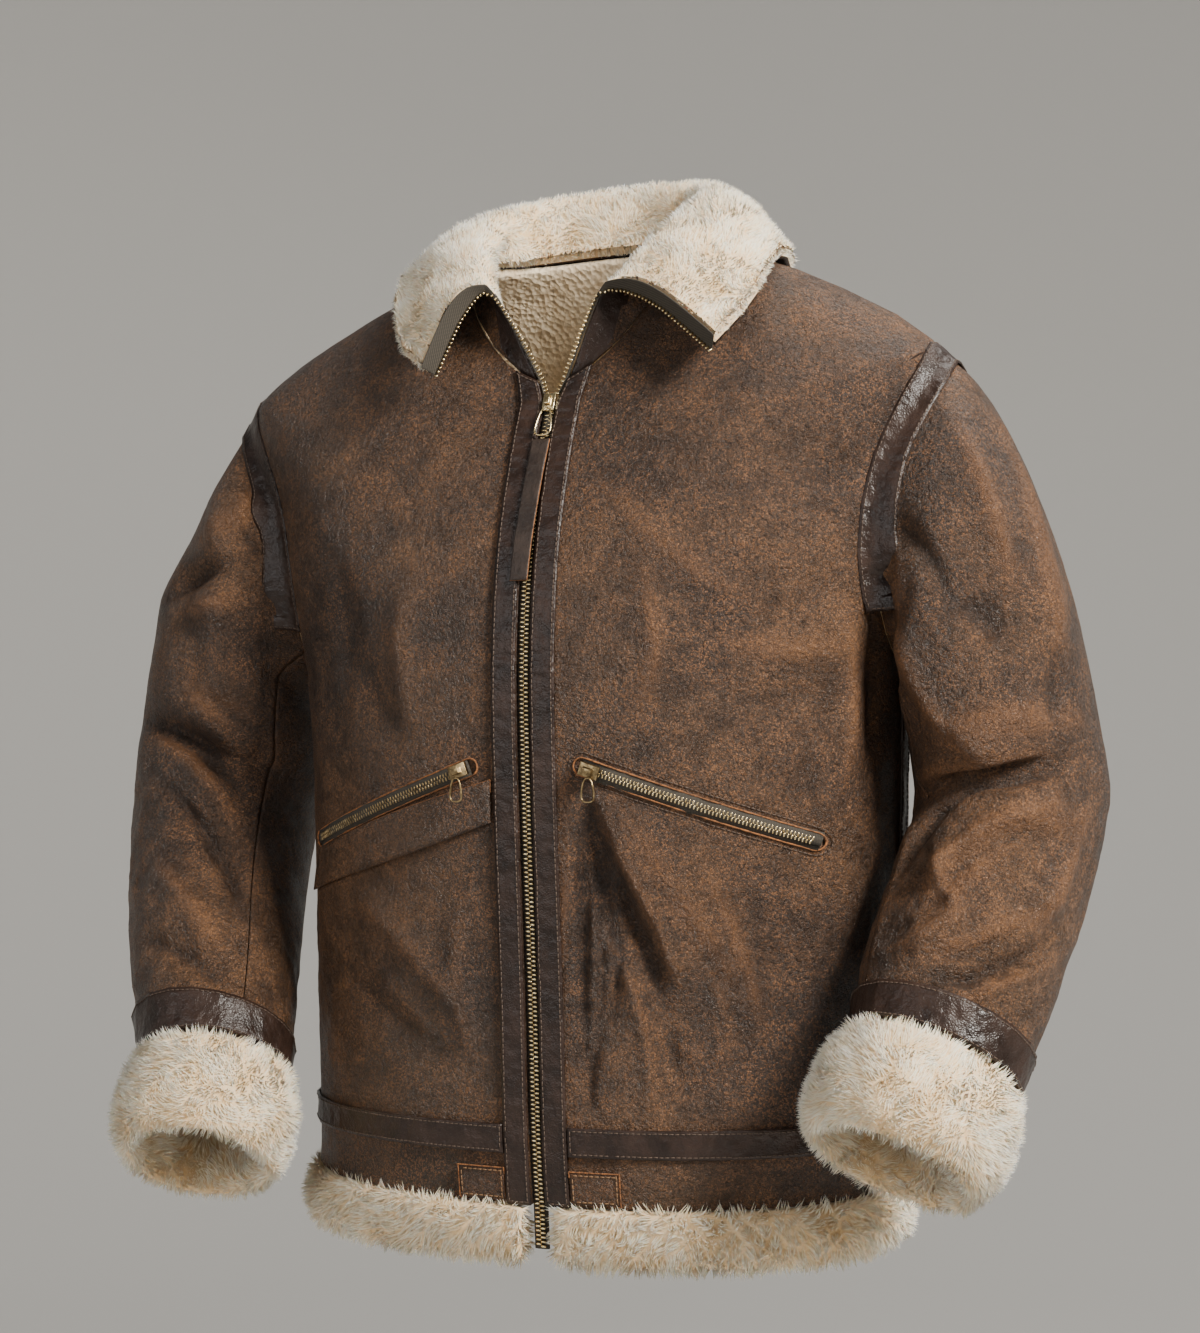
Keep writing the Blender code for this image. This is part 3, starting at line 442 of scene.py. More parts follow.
def mark_skins(bm, wall=None, outer_is_higher=False):
    """Numbers the faces OUTER, INNER or RIM, and creases the rim's edges. The outer skin is
    the larger one, or the one that reaches higher."""
    groups = skin_groups(bm, math.pi if wall else RIM_ANGLE, wall)
    if outer_is_higher:
        pair = sorted(groups[:2], key=lambda group: -max(v.co.z for face in group for v in face.verts))
    else:
        pair = sorted(groups[:2], key=lambda group: -sum(face.calc_area() for face in group))
    for face in bm.faces:
        face.material_index = RIM
    for number, group in zip((OUTER, INNER), pair):
        for face in group:
            face.material_index = number
    crease = bm.edges.layers.float.new("crease_edge")
    for edge in bm.edges:
        if any(face.material_index == RIM for face in edge.link_faces):
            edge[crease] = 1.0


def split_outer(obj, cuts):
    """Divides the outer skin's faces once more, where the detail will be."""
    bm = bmesh.new()
    bm.from_mesh(obj.data)
    for _ in range(cuts):
        edges = {edge for face in bm.faces if face.material_index == OUTER for edge in face.edges}
        bmesh.ops.subdivide_edges(bm, edges=list(edges), cuts=1, use_grid_fill=True)
    bm.to_mesh(obj.data)
    bm.free()
    obj.data.shade_smooth()


def shell(name, node, cuts, materials, wall=None, outer_is_higher=False, body="jacket"):
    """A fine copy of a CAD wall, with its skins in the material slots."""
    bm = merged_copy(node)
    mark_skins(bm, wall, outer_is_higher)
    obj = object_from(name, bm, *materials)
    apply_modifier(obj, "SUBSURF", levels=2, render_levels=2)
    split_outer(obj, cuts)
    return dress(obj, body, node)


# %% [markdown]
# ## Creases
#
# The creases are what makes leather look worn, so they are placed one by one. Each is a line
# with a width and a height, in metres: a ridge stands out and a trough goes in. Those that
# the photograph shows are given by the points that they pass, in its pixels, and a ray from
# the camera finds the leather there. Hidden sides get similar creases, given by how far
# across and how high they lie when the jacket is seen from a stated side. Between them, a
# fine wrinkling is strongest where the leather bends most.

# %% Where the creases run
Crease = namedtuple("Crease", "width height path")
SEEN_CREASES = {
    "front_left": [
        Crease(0.018, 0.0066, [(615, 800), (665, 880), (715, 960), (735, 1040)]),
        Crease(0.0035, -0.0034, [(588, 802), (597, 880), (602, 960), (598, 1040)]),
        Crease(0.0035, -0.0031, [(583, 812), (586, 900), (583, 1000), (587, 1085)]),
        Crease(0.0035, -0.0031, [(636, 960), (650, 1030), (668, 1100)]),
        Crease(0.0035, -0.0029, [(598, 812), (622, 890), (645, 960), (668, 1015)]),
        Crease(0.016, 0.0054, [(720, 640), (790, 650), (845, 640)]),
        Crease(0.007, -0.0083, [(583, 796), (603, 850), (628, 905), (652, 955), (664, 1010)]),
        Crease(0.006, -0.0054, [(664, 1010), (672, 1050), (684, 1092)]),
        Crease(0.008, 0.0073, [(597, 800), (625, 862), (660, 930), (680, 985)]),
        Crease(0.005, -0.0058, [(590, 830), (606, 900), (618, 965), (612, 1020)]),
        Crease(0.006, 0.0049, [(600, 930), (632, 985), (648, 1045), (652, 1100)]),
        Crease(0.004, -0.0041, [(575, 818), (578, 880), (573, 965)]),
        Crease(0.006, 0.0046, [(566, 780), (566, 870), (562, 960), (560, 1050)]),
        Crease(0.004, -0.0037, [(600, 1040), (590, 1080), (592, 1120)]),
        Crease(0.006, -0.0041, [(640, 850), (690, 930), (730, 1000), (745, 1060)]),
        Crease(0.010, 0.0054, [(700, 860), (740, 950), (765, 1040)]),
        Crease(0.012, -0.0046, [(806, 483), (850, 466), (888, 454)]),
        Crease(0.010, 0.0046, [(640, 560), (655, 640), (640, 720)]),
        Crease(0.012, -0.0034, [(700, 690), (760, 700), (830, 690)]),
        Crease(0.010, 0.0062, [(845, 600), (850, 700), (845, 780)]),
        Crease(0.008, -0.0049, [(870, 620), (872, 700), (868, 770)]),
        Crease(0.012, 0.0041, [(600, 480), (680, 560), (760, 600)]),
    ],
    "front_right": [
        Crease(0.010, -0.0031, [(350, 640), (380, 700), (400, 740)]),
        Crease(0.012, 0.0034, [(420, 560), (400, 640), (410, 720)]),
        Crease(0.008, -0.0031, [(340, 960), (390, 1010), (450, 1060)]),
        Crease(0.010, 0.0031, [(360, 900), (420, 960), (480, 1040)]),
        Crease(0.008, -0.0028, [(335, 560), (350, 620), (345, 700)]),
        Crease(0.009, 0.0025, [(470, 880), (455, 960), (470, 1060)]),
        Crease(0.012, -0.0022, [(330, 420), (390, 470), (430, 540)]),
    ],
    "top_sleeve_left": [
        Crease(0.020, 0.0112, [(1075, 722), (1010, 718), (950, 732), (912, 765)]),
        Crease(0.022, 0.0100, [(1080, 822), (1010, 832), (965, 872), (940, 905)]),
        Crease(0.015, 0.0081, [(905, 962), (955, 950), (1000, 930), (1045, 905)]),
        Crease(0.020, 0.0088, [(1000, 430), (1030, 520), (1050, 600), (1062, 660)]),
        Crease(0.008, -0.0175, [(1053, 773), (1010, 776), (970, 782), (930, 815), (900, 867)]),
        Crease(0.010, 0.0114, [(1046, 752), (1000, 750), (950, 762), (925, 780)]),
        Crease(0.012, 0.0099, [(1060, 800), (1010, 815), (965, 850), (930, 895)]),
        Crease(0.008, -0.0093, [(1035, 830), (990, 850), (955, 880), (950, 905)]),
        Crease(0.009, 0.0110, [(936, 845), (948, 885), (954, 918), (925, 938), (889, 954)]),
        Crease(0.006, -0.0104, [(889, 987), (920, 988), (954, 983), (1005, 965), (1049, 940)]),
        Crease(0.006, 0.0083, [(895, 1003), (950, 1003), (1000, 985), (1045, 965)]),
        Crease(0.005, -0.0071, [(915, 960), (965, 955), (1010, 935)]),
        Crease(0.005, -0.0065, [(900, 1018), (940, 1022), (985, 1012)]),
        Crease(0.012, -0.0093, [(960, 600), (982, 617), (1000, 640)]),
        Crease(0.012, 0.0083, [(900, 560), (905, 640), (935, 710), (975, 745)]),
        Crease(0.012, -0.0065, [(1060, 640), (1050, 700), (1055, 745)]),
        Crease(0.012, 0.0083, [(955, 420), (985, 500), (1010, 580)]),
        Crease(0.008, -0.0061, [(895, 520), (930, 560), (950, 610)]),
        Crease(0.010, 0.0071, [(1080, 820), (1060, 880), (1035, 930)]),
    ],
    "top_sleeve_right": [
        Crease(0.020, 0.0100, [(145, 690), (190, 688), (240, 718), (290, 770)]),
        Crease(0.009, -0.0137, [(150, 722), (195, 742), (240, 790), (285, 850)]),
        Crease(0.018, 0.0088, [(165, 560), (205, 535), (250, 520)]),
        Crease(0.008, -0.0110, [(166, 600), (200, 575), (240, 560)]),
        Crease(0.012, 0.0099, [(150, 640), (190, 610), (235, 600)]),
        Crease(0.012, 0.0110, [(155, 735), (190, 760), (230, 810), (265, 870)]),
        Crease(0.009, -0.0120, [(150, 770), (190, 810), (225, 860), (245, 910)]),
        Crease(0.010, -0.0093, [(200, 690), (240, 720), (280, 780)]),
        Crease(0.012, 0.0088, [(150, 860), (190, 900), (220, 950), (250, 975)]),
        Crease(0.008, -0.0088, [(145, 940), (185, 955), (225, 985)]),
        Crease(0.010, -0.0071, [(215, 470), (235, 520), (262, 560)]),
        Crease(0.012, 0.0071, [(250, 430), (252, 490), (240, 540)]),
    ],
}
# Seen from a side, in degrees round the jacket: across to the right and up, in metres
Side = namedtuple("Side", "node azimuth creases")
HIDDEN_CREASES = [
    Side("back", 180, [
        Crease(0.014, 0.0067, [(-0.170, -0.210), (-0.120, -0.270), (-0.080, -0.300)]),
        Crease(0.014, 0.0060, [(0.175, -0.205), (0.115, -0.285), (0.070, -0.330)]),
        Crease(0.010, -0.0060, [(-0.150, -0.240), (-0.100, -0.310), (-0.070, -0.360)]),
        Crease(0.010, -0.0050, [(0.150, -0.260), (0.105, -0.330)]),
        Crease(0.012, -0.0050, [(-0.100, -0.105), (0.000, -0.095), (0.105, -0.110)]),
        Crease(0.010, 0.0058, [(-0.110, -0.430), (-0.080, -0.510), (-0.060, -0.590)]),
        Crease(0.009, -0.0064, [(-0.080, -0.420), (-0.045, -0.500), (-0.030, -0.600)]),
        Crease(0.011, 0.0064, [(0.055, -0.400), (0.090, -0.490), (0.110, -0.600)]),
        Crease(0.008, -0.0058, [(0.030, -0.440), (0.060, -0.520), (0.075, -0.610)]),
        Crease(0.008, -0.0047, [(-0.010, -0.480), (0.005, -0.550), (0.000, -0.610)]),
        Crease(0.010, 0.0047, [(0.140, -0.420), (0.155, -0.510), (0.150, -0.600)]),
        Crease(0.010, -0.0047, [(-0.160, -0.400), (-0.150, -0.500), (-0.160, -0.590)]),
    ]),
    Side("under_sleeve_left", 180, [
        Crease(0.008, -0.0074, [(-0.350, -0.425), (-0.310, -0.415), (-0.270, -0.430)]),
        Crease(0.010, 0.0060, [(-0.345, -0.400), (-0.305, -0.390), (-0.265, -0.400)]),
        Crease(0.010, 0.0058, [(-0.340, -0.455), (-0.300, -0.450), (-0.260, -0.470)]),
        Crease(0.008, -0.0050, [(-0.330, -0.500), (-0.290, -0.510), (-0.255, -0.500)]),
        Crease(0.010, -0.0047, [(-0.300, -0.230), (-0.290, -0.300), (-0.300, -0.360)]),
    ]),
    Side("under_sleeve_right", 180, [
        Crease(0.008, -0.0074, [(0.375, -0.425), (0.330, -0.420), (0.285, -0.440)]),
        Crease(0.010, 0.0060, [(0.370, -0.395), (0.325, -0.390), (0.285, -0.405)]),
        Crease(0.010, 0.0058, [(0.365, -0.460), (0.320, -0.460), (0.280, -0.480)]),
        Crease(0.008, -0.0050, [(0.350, -0.520), (0.310, -0.525), (0.275, -0.515)]),
        Crease(0.010, -0.0047, [(0.315, -0.230), (0.305, -0.300), (0.315, -0.360)]),
    ]),
    Side("top_sleeve_left", 100, [
        Crease(0.008, -0.0060, [(-0.030, -0.420), (0.020, -0.405), (0.060, -0.410)]),
        Crease(0.012, 0.0050, [(-0.020, -0.390), (0.030, -0.375), (0.060, -0.380)]),
        Crease(0.010, -0.0047, [(0.000, -0.480), (0.035, -0.470), (0.060, -0.450)]),
        Crease(0.012, 0.0047, [(0.030, -0.250), (0.040, -0.310), (0.030, -0.350)]),
    ]),
    Side("top_sleeve_right", 260, [
        Crease(0.008, -0.0060, [(0.030, -0.420), (-0.020, -0.405), (-0.060, -0.410)]),
        Crease(0.012, 0.0050, [(0.020, -0.390), (-0.030, -0.375), (-0.060, -0.380)]),
        Crease(0.010, -0.0047, [(0.000, -0.490), (-0.035, -0.475), (-0.060, -0.450)]),
        Crease(0.012, 0.0047, [(-0.030, -0.250), (-0.040, -0.310), (-0.030, -0.350)]),
    ]),
]
# Where the fine wrinkling is strongest: the middle and reach of each place, and how much
Worn = namedtuple("Worn", "place reach strength")
WORN_PLACES = [
    Worn((0.290, -0.060, -0.450), 0.095, 1.0),
    Worn((0.290, -0.090, -0.560), 0.080, 1.0),
    Worn((-0.310, -0.060, -0.450), 0.110, 0.8),
    Worn((-0.290, -0.110, -0.580), 0.080, 0.7),
    Worn((0.090, -0.120, -0.520), 0.090, 0.9),
    Worn((0.190, -0.090, -0.210), 0.080, 0.45),
    Worn((-0.120, -0.110, -0.540), 0.100, 0.5),
    Worn((0.000, 0.150, -0.540), 0.160, 0.6),
]


# %% [markdown]
# A crease is drawn into a panel by moving each point along its own normal. The movement
# dies out near the rim, where the seam holds the leather, and it is kept as the relief value
# that the leather finish reads. Two sizes of ridged noise add the fine wrinkling.


# %% Draw the creases
def camera_ray(pixel):
    """The direction from the camera through a pixel of the photograph."""
    x = (pixel[0] - PHOTO_WIDTH / 2) / FOCAL_PIXELS
    y = (PHOTO_HEIGHT / 2 - pixel[1]) / FOCAL_PIXELS
    return (forward + right * x + up * y).normalized()


def side_ray(azimuth, across, height):
    """A start and direction, seen level from a side: across to the right, and up."""
    turn = math.radians(azimuth)
    sideways = Vector((math.cos(turn), math.sin(turn), 0))
    inward = Vector((-math.sin(turn), math.cos(turn), 0))
    return sideways * across + Vector((0, 0, height)) - inward * 2, inward


def on_leather(tree, rays):
    """Where rays first meet a mesh, leaving out those that miss."""
    hits = [tree.ray_cast(start, direction)[0] for start, direction in rays]
    return [hit for hit in hits if hit]


def smooth_line(points, steps=6):
    """More points along a line, on a smooth curve through them, as an array."""
    padded = [2 * points[0] - points[1], *points, 2 * points[-1] - points[-2]]
    line = []
    for k in range(1, len(padded) - 2):
        before, start, end, after = padded[k - 1:k + 3]
        for step in range(steps):
            t = step / steps
            slope_in, slope_out = (end - before) / 2, (after - start) / 2
            bend = 3 * (end - start) - 2 * slope_in - slope_out
            line.append(start + slope_in * t + bend * t**2 + (2 * (start - end) + slope_in + slope_out) * t**3)
    return np.array([*line, points[-1]])


def creases_of(node, tree):
    """The creases on a panel: each with its width, its height and its line in metres."""
    found = []
    for crease in SEEN_CREASES.get(node, []):
        found.append((crease, [(camera_place, camera_ray(pixel)) for pixel in crease.path]))
    for side in HIDDEN_CREASES:
        if side.node == node:
            found += [(crease, [side_ray(side.azimuth, *at) for at in crease.path]) for crease in side.creases]
    lines = []
    for crease, rays in found:
        points = on_leather(tree, rays)
        if len(points) > 1:
            lines.append((crease.width, crease.height, smooth_line(points)))
    return lines


def distance_to(points, line):
    """The distance of each point to a line of points, and how far along it that is."""
    nearest = np.full(len(points), 9.0)
    along = np.zeros(len(points))
    for k in range(len(line) - 1):
        start, step = line[k], line[k + 1] - line[k]
        share = np.clip(((points - start) @ step) / max(step @ step, 1e-12), 0, 1)
        apart = np.linalg.norm(points - start - share[:, None] * step, axis=1)
        closer = apart < nearest
        nearest[closer] = apart[closer]
        along[closer] = (k + share[closer]) / (len(line) - 1)
    return nearest, along


def mesh_arrays(mesh):
    """The points and the normals of a mesh, as arrays."""
    points = np.empty(len(mesh.vertices) * 3)
    mesh.vertices.foreach_get("co", points)
    normals = np.array([v.vector for v in mesh.vertex_normals])
    return points.reshape(-1, 3), normals


def move_points(mesh, points):
    mesh.vertices.foreach_set("co", points.ravel())
    mesh.update()


def tree_of(mesh):
    """A mesh's faces, ready for rays and for finding the nearest point."""
    return BVHTree.FromPolygons([v.co for v in mesh.vertices], [p.vertices for p in mesh.polygons])


def unit(vectors):
    return vectors / np.linalg.norm(vectors, axis=-1, keepdims=True)


def faces_of_points(mesh, number):
    """True for each point that has a face in a material slot."""
    found = np.zeros(len(mesh.vertices), bool)
    for polygon in mesh.polygons:
        if polygon.material_index == number:
            found[list(polygon.vertices)] = True
    return found


SEAM_HOLD = 0.012  # the reach of a seam's hold on the creases
TRIMS = [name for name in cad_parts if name.split("_")[0] in
         ("placket", "armhole", "cuff", "side", "waist", "pocket", "hem", "collar", "main", "zip")]
WRINKLE_SIZES = ((34.0, 0.0016), (88.0, 0.0007))  # ridged noise: its scale and its height
WORN_FROM = 0.08  # the least strength at which a place's own wrinkling is drawn
EVEN_WEAR, EVEN_SCALE = 0.22, 0.8  # the faint wrinkling all over a panel
FULL_WEAR_AND_SHADE, FULL_FINE = 0.0055, 0.0030  # the heights at which the relief value reaches one


def wrinkle(point, strength):
    """Fine wrinkling at a point: ridges where two noises cross nought."""
    total = 0.0
    for scale, height in WRINKLE_SIZES:
        value = noise.noise(point * scale, noise_basis="PERLIN_ORIGINAL")
        total += (0.35 - abs(value) * 2.4) * height * strength
    return total


def draw_creases(obj, node):
    """Moves a panel's points by its creases and wrinkles. Gives the largest movement."""
    mesh = obj.data
    points, normals = mesh_arrays(mesh)
    inner, rim = faces_of_points(mesh, INNER), faces_of_points(mesh, RIM)
    outward = np.where(inner[:, None], -normals, normals)
    faced = points + np.where(inner[:, None], outward * HIDE, 0)  # where each lies on the outer skin
    height, stain_and_shade = np.zeros(len(points)), np.zeros(len(points))
    for width, tall, line in creases_of(node, tree_of(mesh)):
        apart, along = distance_to(faced, line)
        fade = np.sin(np.pi * np.clip(along, 0.04, 0.96)) ** 0.6
        height += tall * fade * np.exp(-((apart / width) ** 1.5))
        # The crease's share of the relief value: rubbed wear on a ridge, painted shade in a trough.
        stain_and_shade += tall / FULL_WEAR_AND_SHADE * fade * np.exp(-((apart / (0.5 * width)) ** 2))
    drawn = height.copy()
    for place in WORN_PLACES:
        reach = np.linalg.norm(points - np.array(place.place), axis=1) / place.reach
        strength = place.strength * np.exp(-(reach**2))
        for k in np.nonzero(strength > WORN_FROM)[0]:
            height[k] += wrinkle(Vector(points[k]), strength[k])
    for k in range(len(points)):
        height[k] += wrinkle(Vector(points[k]) * EVEN_SCALE, EVEN_WEAR)
    edge = KDTree(int(rim.sum()))
    for k in np.nonzero(rim)[0]:
        edge.insert(points[k], int(k))
    edge.balance()
    hold = np.array([edge.find(p)[2] for p in points])
    for trim in TRIMS:
        if trim == node:
            continue
        laid_on = BVHTree.FromBMesh(merged_copy(trim))
        near = [laid_on.find_nearest(p, SEAM_HOLD) for p in points]
        hold = np.minimum(hold, [SEAM_HOLD if hit[0] is None else max(hit[3] - 0.001, 0) for hit in near])
    hold = np.clip(hold / SEAM_HOLD, 0, 1)
    # The fine wrinkling adds to the relief value too, so its troughs also get painted shade.
    fine = (height - drawn) / FULL_FINE
    height *= hold * hold * (3 - 2 * hold)
    relief = mesh.attributes.new("relief", "FLOAT", "POINT")
    worn_edge = 0.30 * np.exp(-((hold * SEAM_HOLD / 0.004) ** 2))
    relief.data.foreach_set("value", np.clip(stain_and_shade + fine + worn_edge, -1, 1).astype(np.float32))
    move_points(mesh, points + outward * height[:, None])
    return float(np.abs(drawn).max())


# %% [markdown]
# ## The leather panels
#
# Each panel is listed with the size of the skin that it is cut from. The wall
# is 5 mm thick: the skin, and the clipped wool behind it, which is the jacket's lining.

# %% Build the panels
Cut = namedtuple("Cut", "width length area")
PANELS = {
    "front_left": Cut(0.31, 0.66, 0.170),
    "front_right": Cut(0.31, 0.66, 0.172),
    "back": Cut(0.62, 0.69, 0.370),
    "top_sleeve_left": Cut(0.27, 0.60, 0.118),
    "top_sleeve_right": Cut(0.28, 0.62, 0.125),
    "under_sleeve_left": Cut(0.215, 0.50, 0.073),
    "under_sleeve_right": Cut(0.225, 0.52, 0.084),
    "hem_band_front_left": Cut(0.295, 0.05, 0.0144),
    "hem_band_front_right": Cut(0.31, 0.05, 0.0151),
    "hem_band_back": Cut(0.59, 0.05, 0.0288),
}
NECK_RADIUS, NECK_BOTTOM = 0.105, -0.10  # the part of a rim that lies under the collar
panels = {}
for node, cut in PANELS.items():
    rim = trim_leather if node.startswith("front") else body_leather
    piece = shell(node + "_leather", node, 1, (body_leather, clipped_wool, rim))
    for face in piece.data.polygons:
        at_neck = abs(face.center.x) < NECK_RADIUS and face.center.z > NECK_BOTTOM
        if face.material_index == RIM and at_neck and face.normal.z > 0.3:
            face.material_index = INNER
    deepest = draw_creases(piece, node)
    panels[node] = piece
    print(piece.name, len(piece.data.polygons), "faces, deepest crease", round(deepest * 1000, 1), "mm")

# %% [markdown]
# ## Many small things
#
# Wool locks, stitches and zip teeth are each modelled once, with a few dozen faces at most,
# and then laid out by the hundred as one joined mesh. Arrays make that quick: each copy is
# the model's points times a small frame of three directions, moved to its place.


# %% Helpers for joined copies
def mesh_from_arrays(name, points, faces, *materials):
    """An object from an array of points and an array of faces with equal numbers of corners."""
    mesh = bpy.data.meshes.new(name)
    mesh.vertices.add(len(points))
    mesh.vertices.foreach_set("co", np.ascontiguousarray(points, np.float32).ravel())
    mesh.loops.add(faces.size)
    mesh.loops.foreach_set("vertex_index", faces.astype(np.int32).ravel())
    mesh.polygons.add(len(faces))
    mesh.polygons.foreach_set("loop_start", np.arange(len(faces), dtype=np.int32) * faces.shape[1])
    mesh.update(calc_edges=True)
    mesh.validate()
    mesh.shade_smooth()
    for material in materials:
        mesh.materials.append(material)
    obj = bpy.data.objects.new(name, mesh)
    bpy.context.scene.collection.objects.link(obj)
    return obj


def model_of(obj):
    """The points and triangles of a modelled object, which is then removed."""
    bm = bmesh.new()
    bm.from_mesh(obj.data)
    bmesh.ops.triangulate(bm, faces=bm.faces)
    points = np.array([v.co[:] for v in bm.verts])
    faces = np.array([[v.index for v in face.verts] for face in bm.faces])
    bm.free()
    bpy.data.objects.remove(obj)
    return points, faces


def joined_copies(name, model, places, material):
    """Copies of a model, one for each (origin, x axis, y axis, z axis)."""
    points, faces = model
    origins, *axes = (np.array([place[k] for place in places]) for k in range(4))
    laid = origins[:, None, :]
    for k, axis in enumerate(axes):
        laid = laid + points[None, :, k, None] * axis[:, None, :]
    count = np.arange(len(places)) * len(points)
    return mesh_from_arrays(name, laid.reshape(-1, 3), (faces[None] + count[:, None, None]).reshape(-1, 3),
                            material)


def frame_from(along, out):
    """Three directions: along, across and out, square to each other."""
    along = unit(along)
    out = unit(out - along * (out @ along))
    return along, np.cross(out, along), out


def evenly(points, pitch, closed=False):
    """Places at an even pitch along a line of points, each with its direction."""
    points = np.vstack([points, points[:1]]) if closed else np.asarray(points)
    lengths = np.concatenate([[0], np.cumsum(np.linalg.norm(np.diff(points, axis=0), axis=1))])
    marks = np.linspace(0, lengths[-1], max(int(lengths[-1] / pitch), 2), endpoint=not closed)
    def at(mark):
        return np.stack([np.interp(mark, lengths, points[:, k]) for k in range(3)], axis=-1)
    step = pitch / 2
    directions = at(np.clip(marks + step, 0, lengths[-1])) - at(np.clip(marks - step, 0, lengths[-1]))
    return at(marks), directions


# %% [markdown]
# ## Stitches
#
# A stitch is a short piece of thread that dips into the leather at both ends, so it is
# modelled as a small cylinder with a lower point at each end. Rows of them run just inside
# the edges of every tape. The edge is found on the finished mesh, as the border between the
# outer skin and the cut rim, and a line is drawn at a set distance inside it.

# %% One stitch
bpy.ops.object.select_all(action="DESELECT")
bpy.ops.mesh.primitive_cylinder_add(vertices=4, radius=0.00045, depth=0.0026, end_fill_type="TRIFAN",
                                    rotation=(0, math.pi / 2, 0))
bpy.ops.object.transform_apply(location=True, rotation=True, scale=True)
for vertex in bpy.context.object.data.vertices:
    if max(abs(vertex.co.y), abs(vertex.co.z)) < 1e-6:
        vertex.co.x *= 1.35  # a point at each end, which dips into the leather
        vertex.co.z -= 0.0005
STITCH = model_of(bpy.context.object)
STITCH_INSET, STITCH_PITCH = 0.0021, 0.0038
STITCH_LIFT = 0.00015
print("a stitch has", len(STITCH[1]), "triangles")


def skin_borders(mesh):
    """The closed borders of the outer skin: (points, inward directions) for each."""
    bm = bmesh.new()
    bm.from_mesh(mesh)
    border = {}
    inward = {}
    for edge in bm.edges:
        outer = [face for face in edge.link_faces if face.material_index == OUTER]
        if len(outer) == 1 and len(edge.link_faces) == 2:
            a, b = edge.verts
            away = outer[0].normal.cross(b.co - a.co).normalized()
            if away.dot(outer[0].calc_center_median() - (a.co + b.co) / 2) < 0:
                away.negate()
            for vertex, other in ((a, b), (b, a)):
                border.setdefault(vertex.index, []).append(other.index)
                inward[vertex.index] = inward.get(vertex.index, Vector()) + away
    bm.verts.ensure_lookup_table()
    loops = []
    left = set(border)
    while left:
        start = min(left)
        loop, at = [], start
        while at is not None:
            loop.append(at)
            left.discard(at)
            at = next((other for other in border[at] if other in left), None)
        if len(loop) > 8:
            loops.append((np.array([bm.verts[k].co[:] for k in loop]),
                          np.array([inward[k].normalized()[:] for k in loop])))
    bm.free()
    return loops


def stitch_places(obj, inset=STITCH_INSET):
    """Places for stitches along the borders of a piece's outer skin, inset from them."""
    tree = tree_of(obj.data)
    places = []
    for points, inward in skin_borders(obj.data):
        line, directions = evenly(points + inward * inset, STITCH_PITCH, closed=True)
        for point, along in zip(line, directions):
            hit, normal, _, distance = tree.find_nearest(point)
            if hit is None or distance > inset or np.linalg.norm(along) < 0.6 * STITCH_PITCH:
                continue
            along, across, out = frame_from(along, np.array(normal))
            places.append((np.array(hit) + out * STITCH_LIFT, along, across, out))
    return places


# %% [markdown]
# ## Tapes and plackets
#
# Thin dark leather covers the zip's edges, the armholes, the cuffs, the waist and the side
# seams. Each tape is a fine copy of its CAD strip, raised here and there in the short
# ripples that its stitching pulls up between the two rows.

# %% Helpers for tapes
TRIM = 0.0015  # the tapes' thickness
RIPPLE = 0.0010


def pucker(obj, tall, scales):
    """Raises the outer skin of a piece in ripples that die out at its edges. The three scales
    are along x, y and z, so that the ripples can be made to run across a tape."""
    mesh = obj.data
    points, normals = mesh_arrays(mesh)
    held = faces_of_points(mesh, RIM) | faces_of_points(mesh, INNER)
    heights = np.zeros(len(points))
    for k in np.nonzero(~held)[0]:
        at = Vector(points[k] * np.array(scales))
        heights[k] = tall * (0.30 + 0.9 * noise.noise(at) + 0.5 * noise.noise(at * 2.1))
    move_points(mesh, points + normals * np.clip(heights, -0.0002, 2 * tall)[:, None])


def outward_faces(obj):
    """Turns every face of a closed piece to look outwards."""
    select_only(obj)
    bpy.ops.object.mode_set(mode="EDIT")
    bpy.ops.mesh.select_all(action="SELECT")
    bpy.ops.mesh.normals_make_consistent(inside=False)
    bpy.ops.object.mode_set(mode="OBJECT")


# %% [markdown]
# Most tapes run straight down or level round the jacket. The ripples of a tape that runs
# down are tight in z, and those of a level one are tight in x and y.

# %% Build the tapes
DOWN, ROUND = (50, 50, 190), (150, 150, 50)
Tape = namedtuple("Tape", "width length area ripples")
TAPES = {
    "placket_left": Tape(0.030, 0.60, 0.0115, DOWN),
    "placket_right": Tape(0.030, 0.60, 0.0115, DOWN),
    "cuff_tape_left": Tape(0.032, 0.36, 0.0102, ROUND),
    "cuff_tape_right": Tape(0.032, 0.40, 0.0116, ROUND),
    "waist_tape_left": Tape(0.026, 0.27, 0.0056, ROUND),
    "waist_tape_right": Tape(0.026, 0.28, 0.0058, ROUND),
    "waist_tape_back": Tape(0.026, 0.52, 0.0121, ROUND),
    "side_tape_left": Tape(0.020, 0.32, 0.0053, DOWN),
    "side_tape_right": Tape(0.020, 0.32, 0.0052, DOWN),
}
stitched = []
for node, tape in TAPES.items():
    strip = shell(node + "_strip", node, 1, (trim_leather,) * 3, TRIM)
    pucker(strip, RIPPLE, tape.ripples)
    stitched += stitch_places(strip)
    print(strip.name, "area", round(sum(p.area for p in strip.data.polygons) / 2, 4))

# %% [markdown]
# The armhole's tape bridges the valley between the body and the sleeve, so it is laid anew on
# the finished leather. Its middle line comes from the CAD strip, read by the angle round the
# armhole. From above that line, rays sent down find the leather across its width.

# %% Armhole tapes
ARM_TAPE_HALF, ARM_TAPE_THICK, ARM_TAPE_LIFT = 0.0112, 0.0012, 0.0006
ARM_TAPE_LENGTH = 0.43
ARM_ROWS, ARM_COLUMNS = 190, 9
ARM_MARKS, ARM_BLUR = 40, 0.07  # the angles at which the middle line is read, and their reach
ARM_LEAN = 0.055  # how far the tape leans out of the armhole's own plane
ABOVE = 0.02  # the rays start this far out, and look as far in


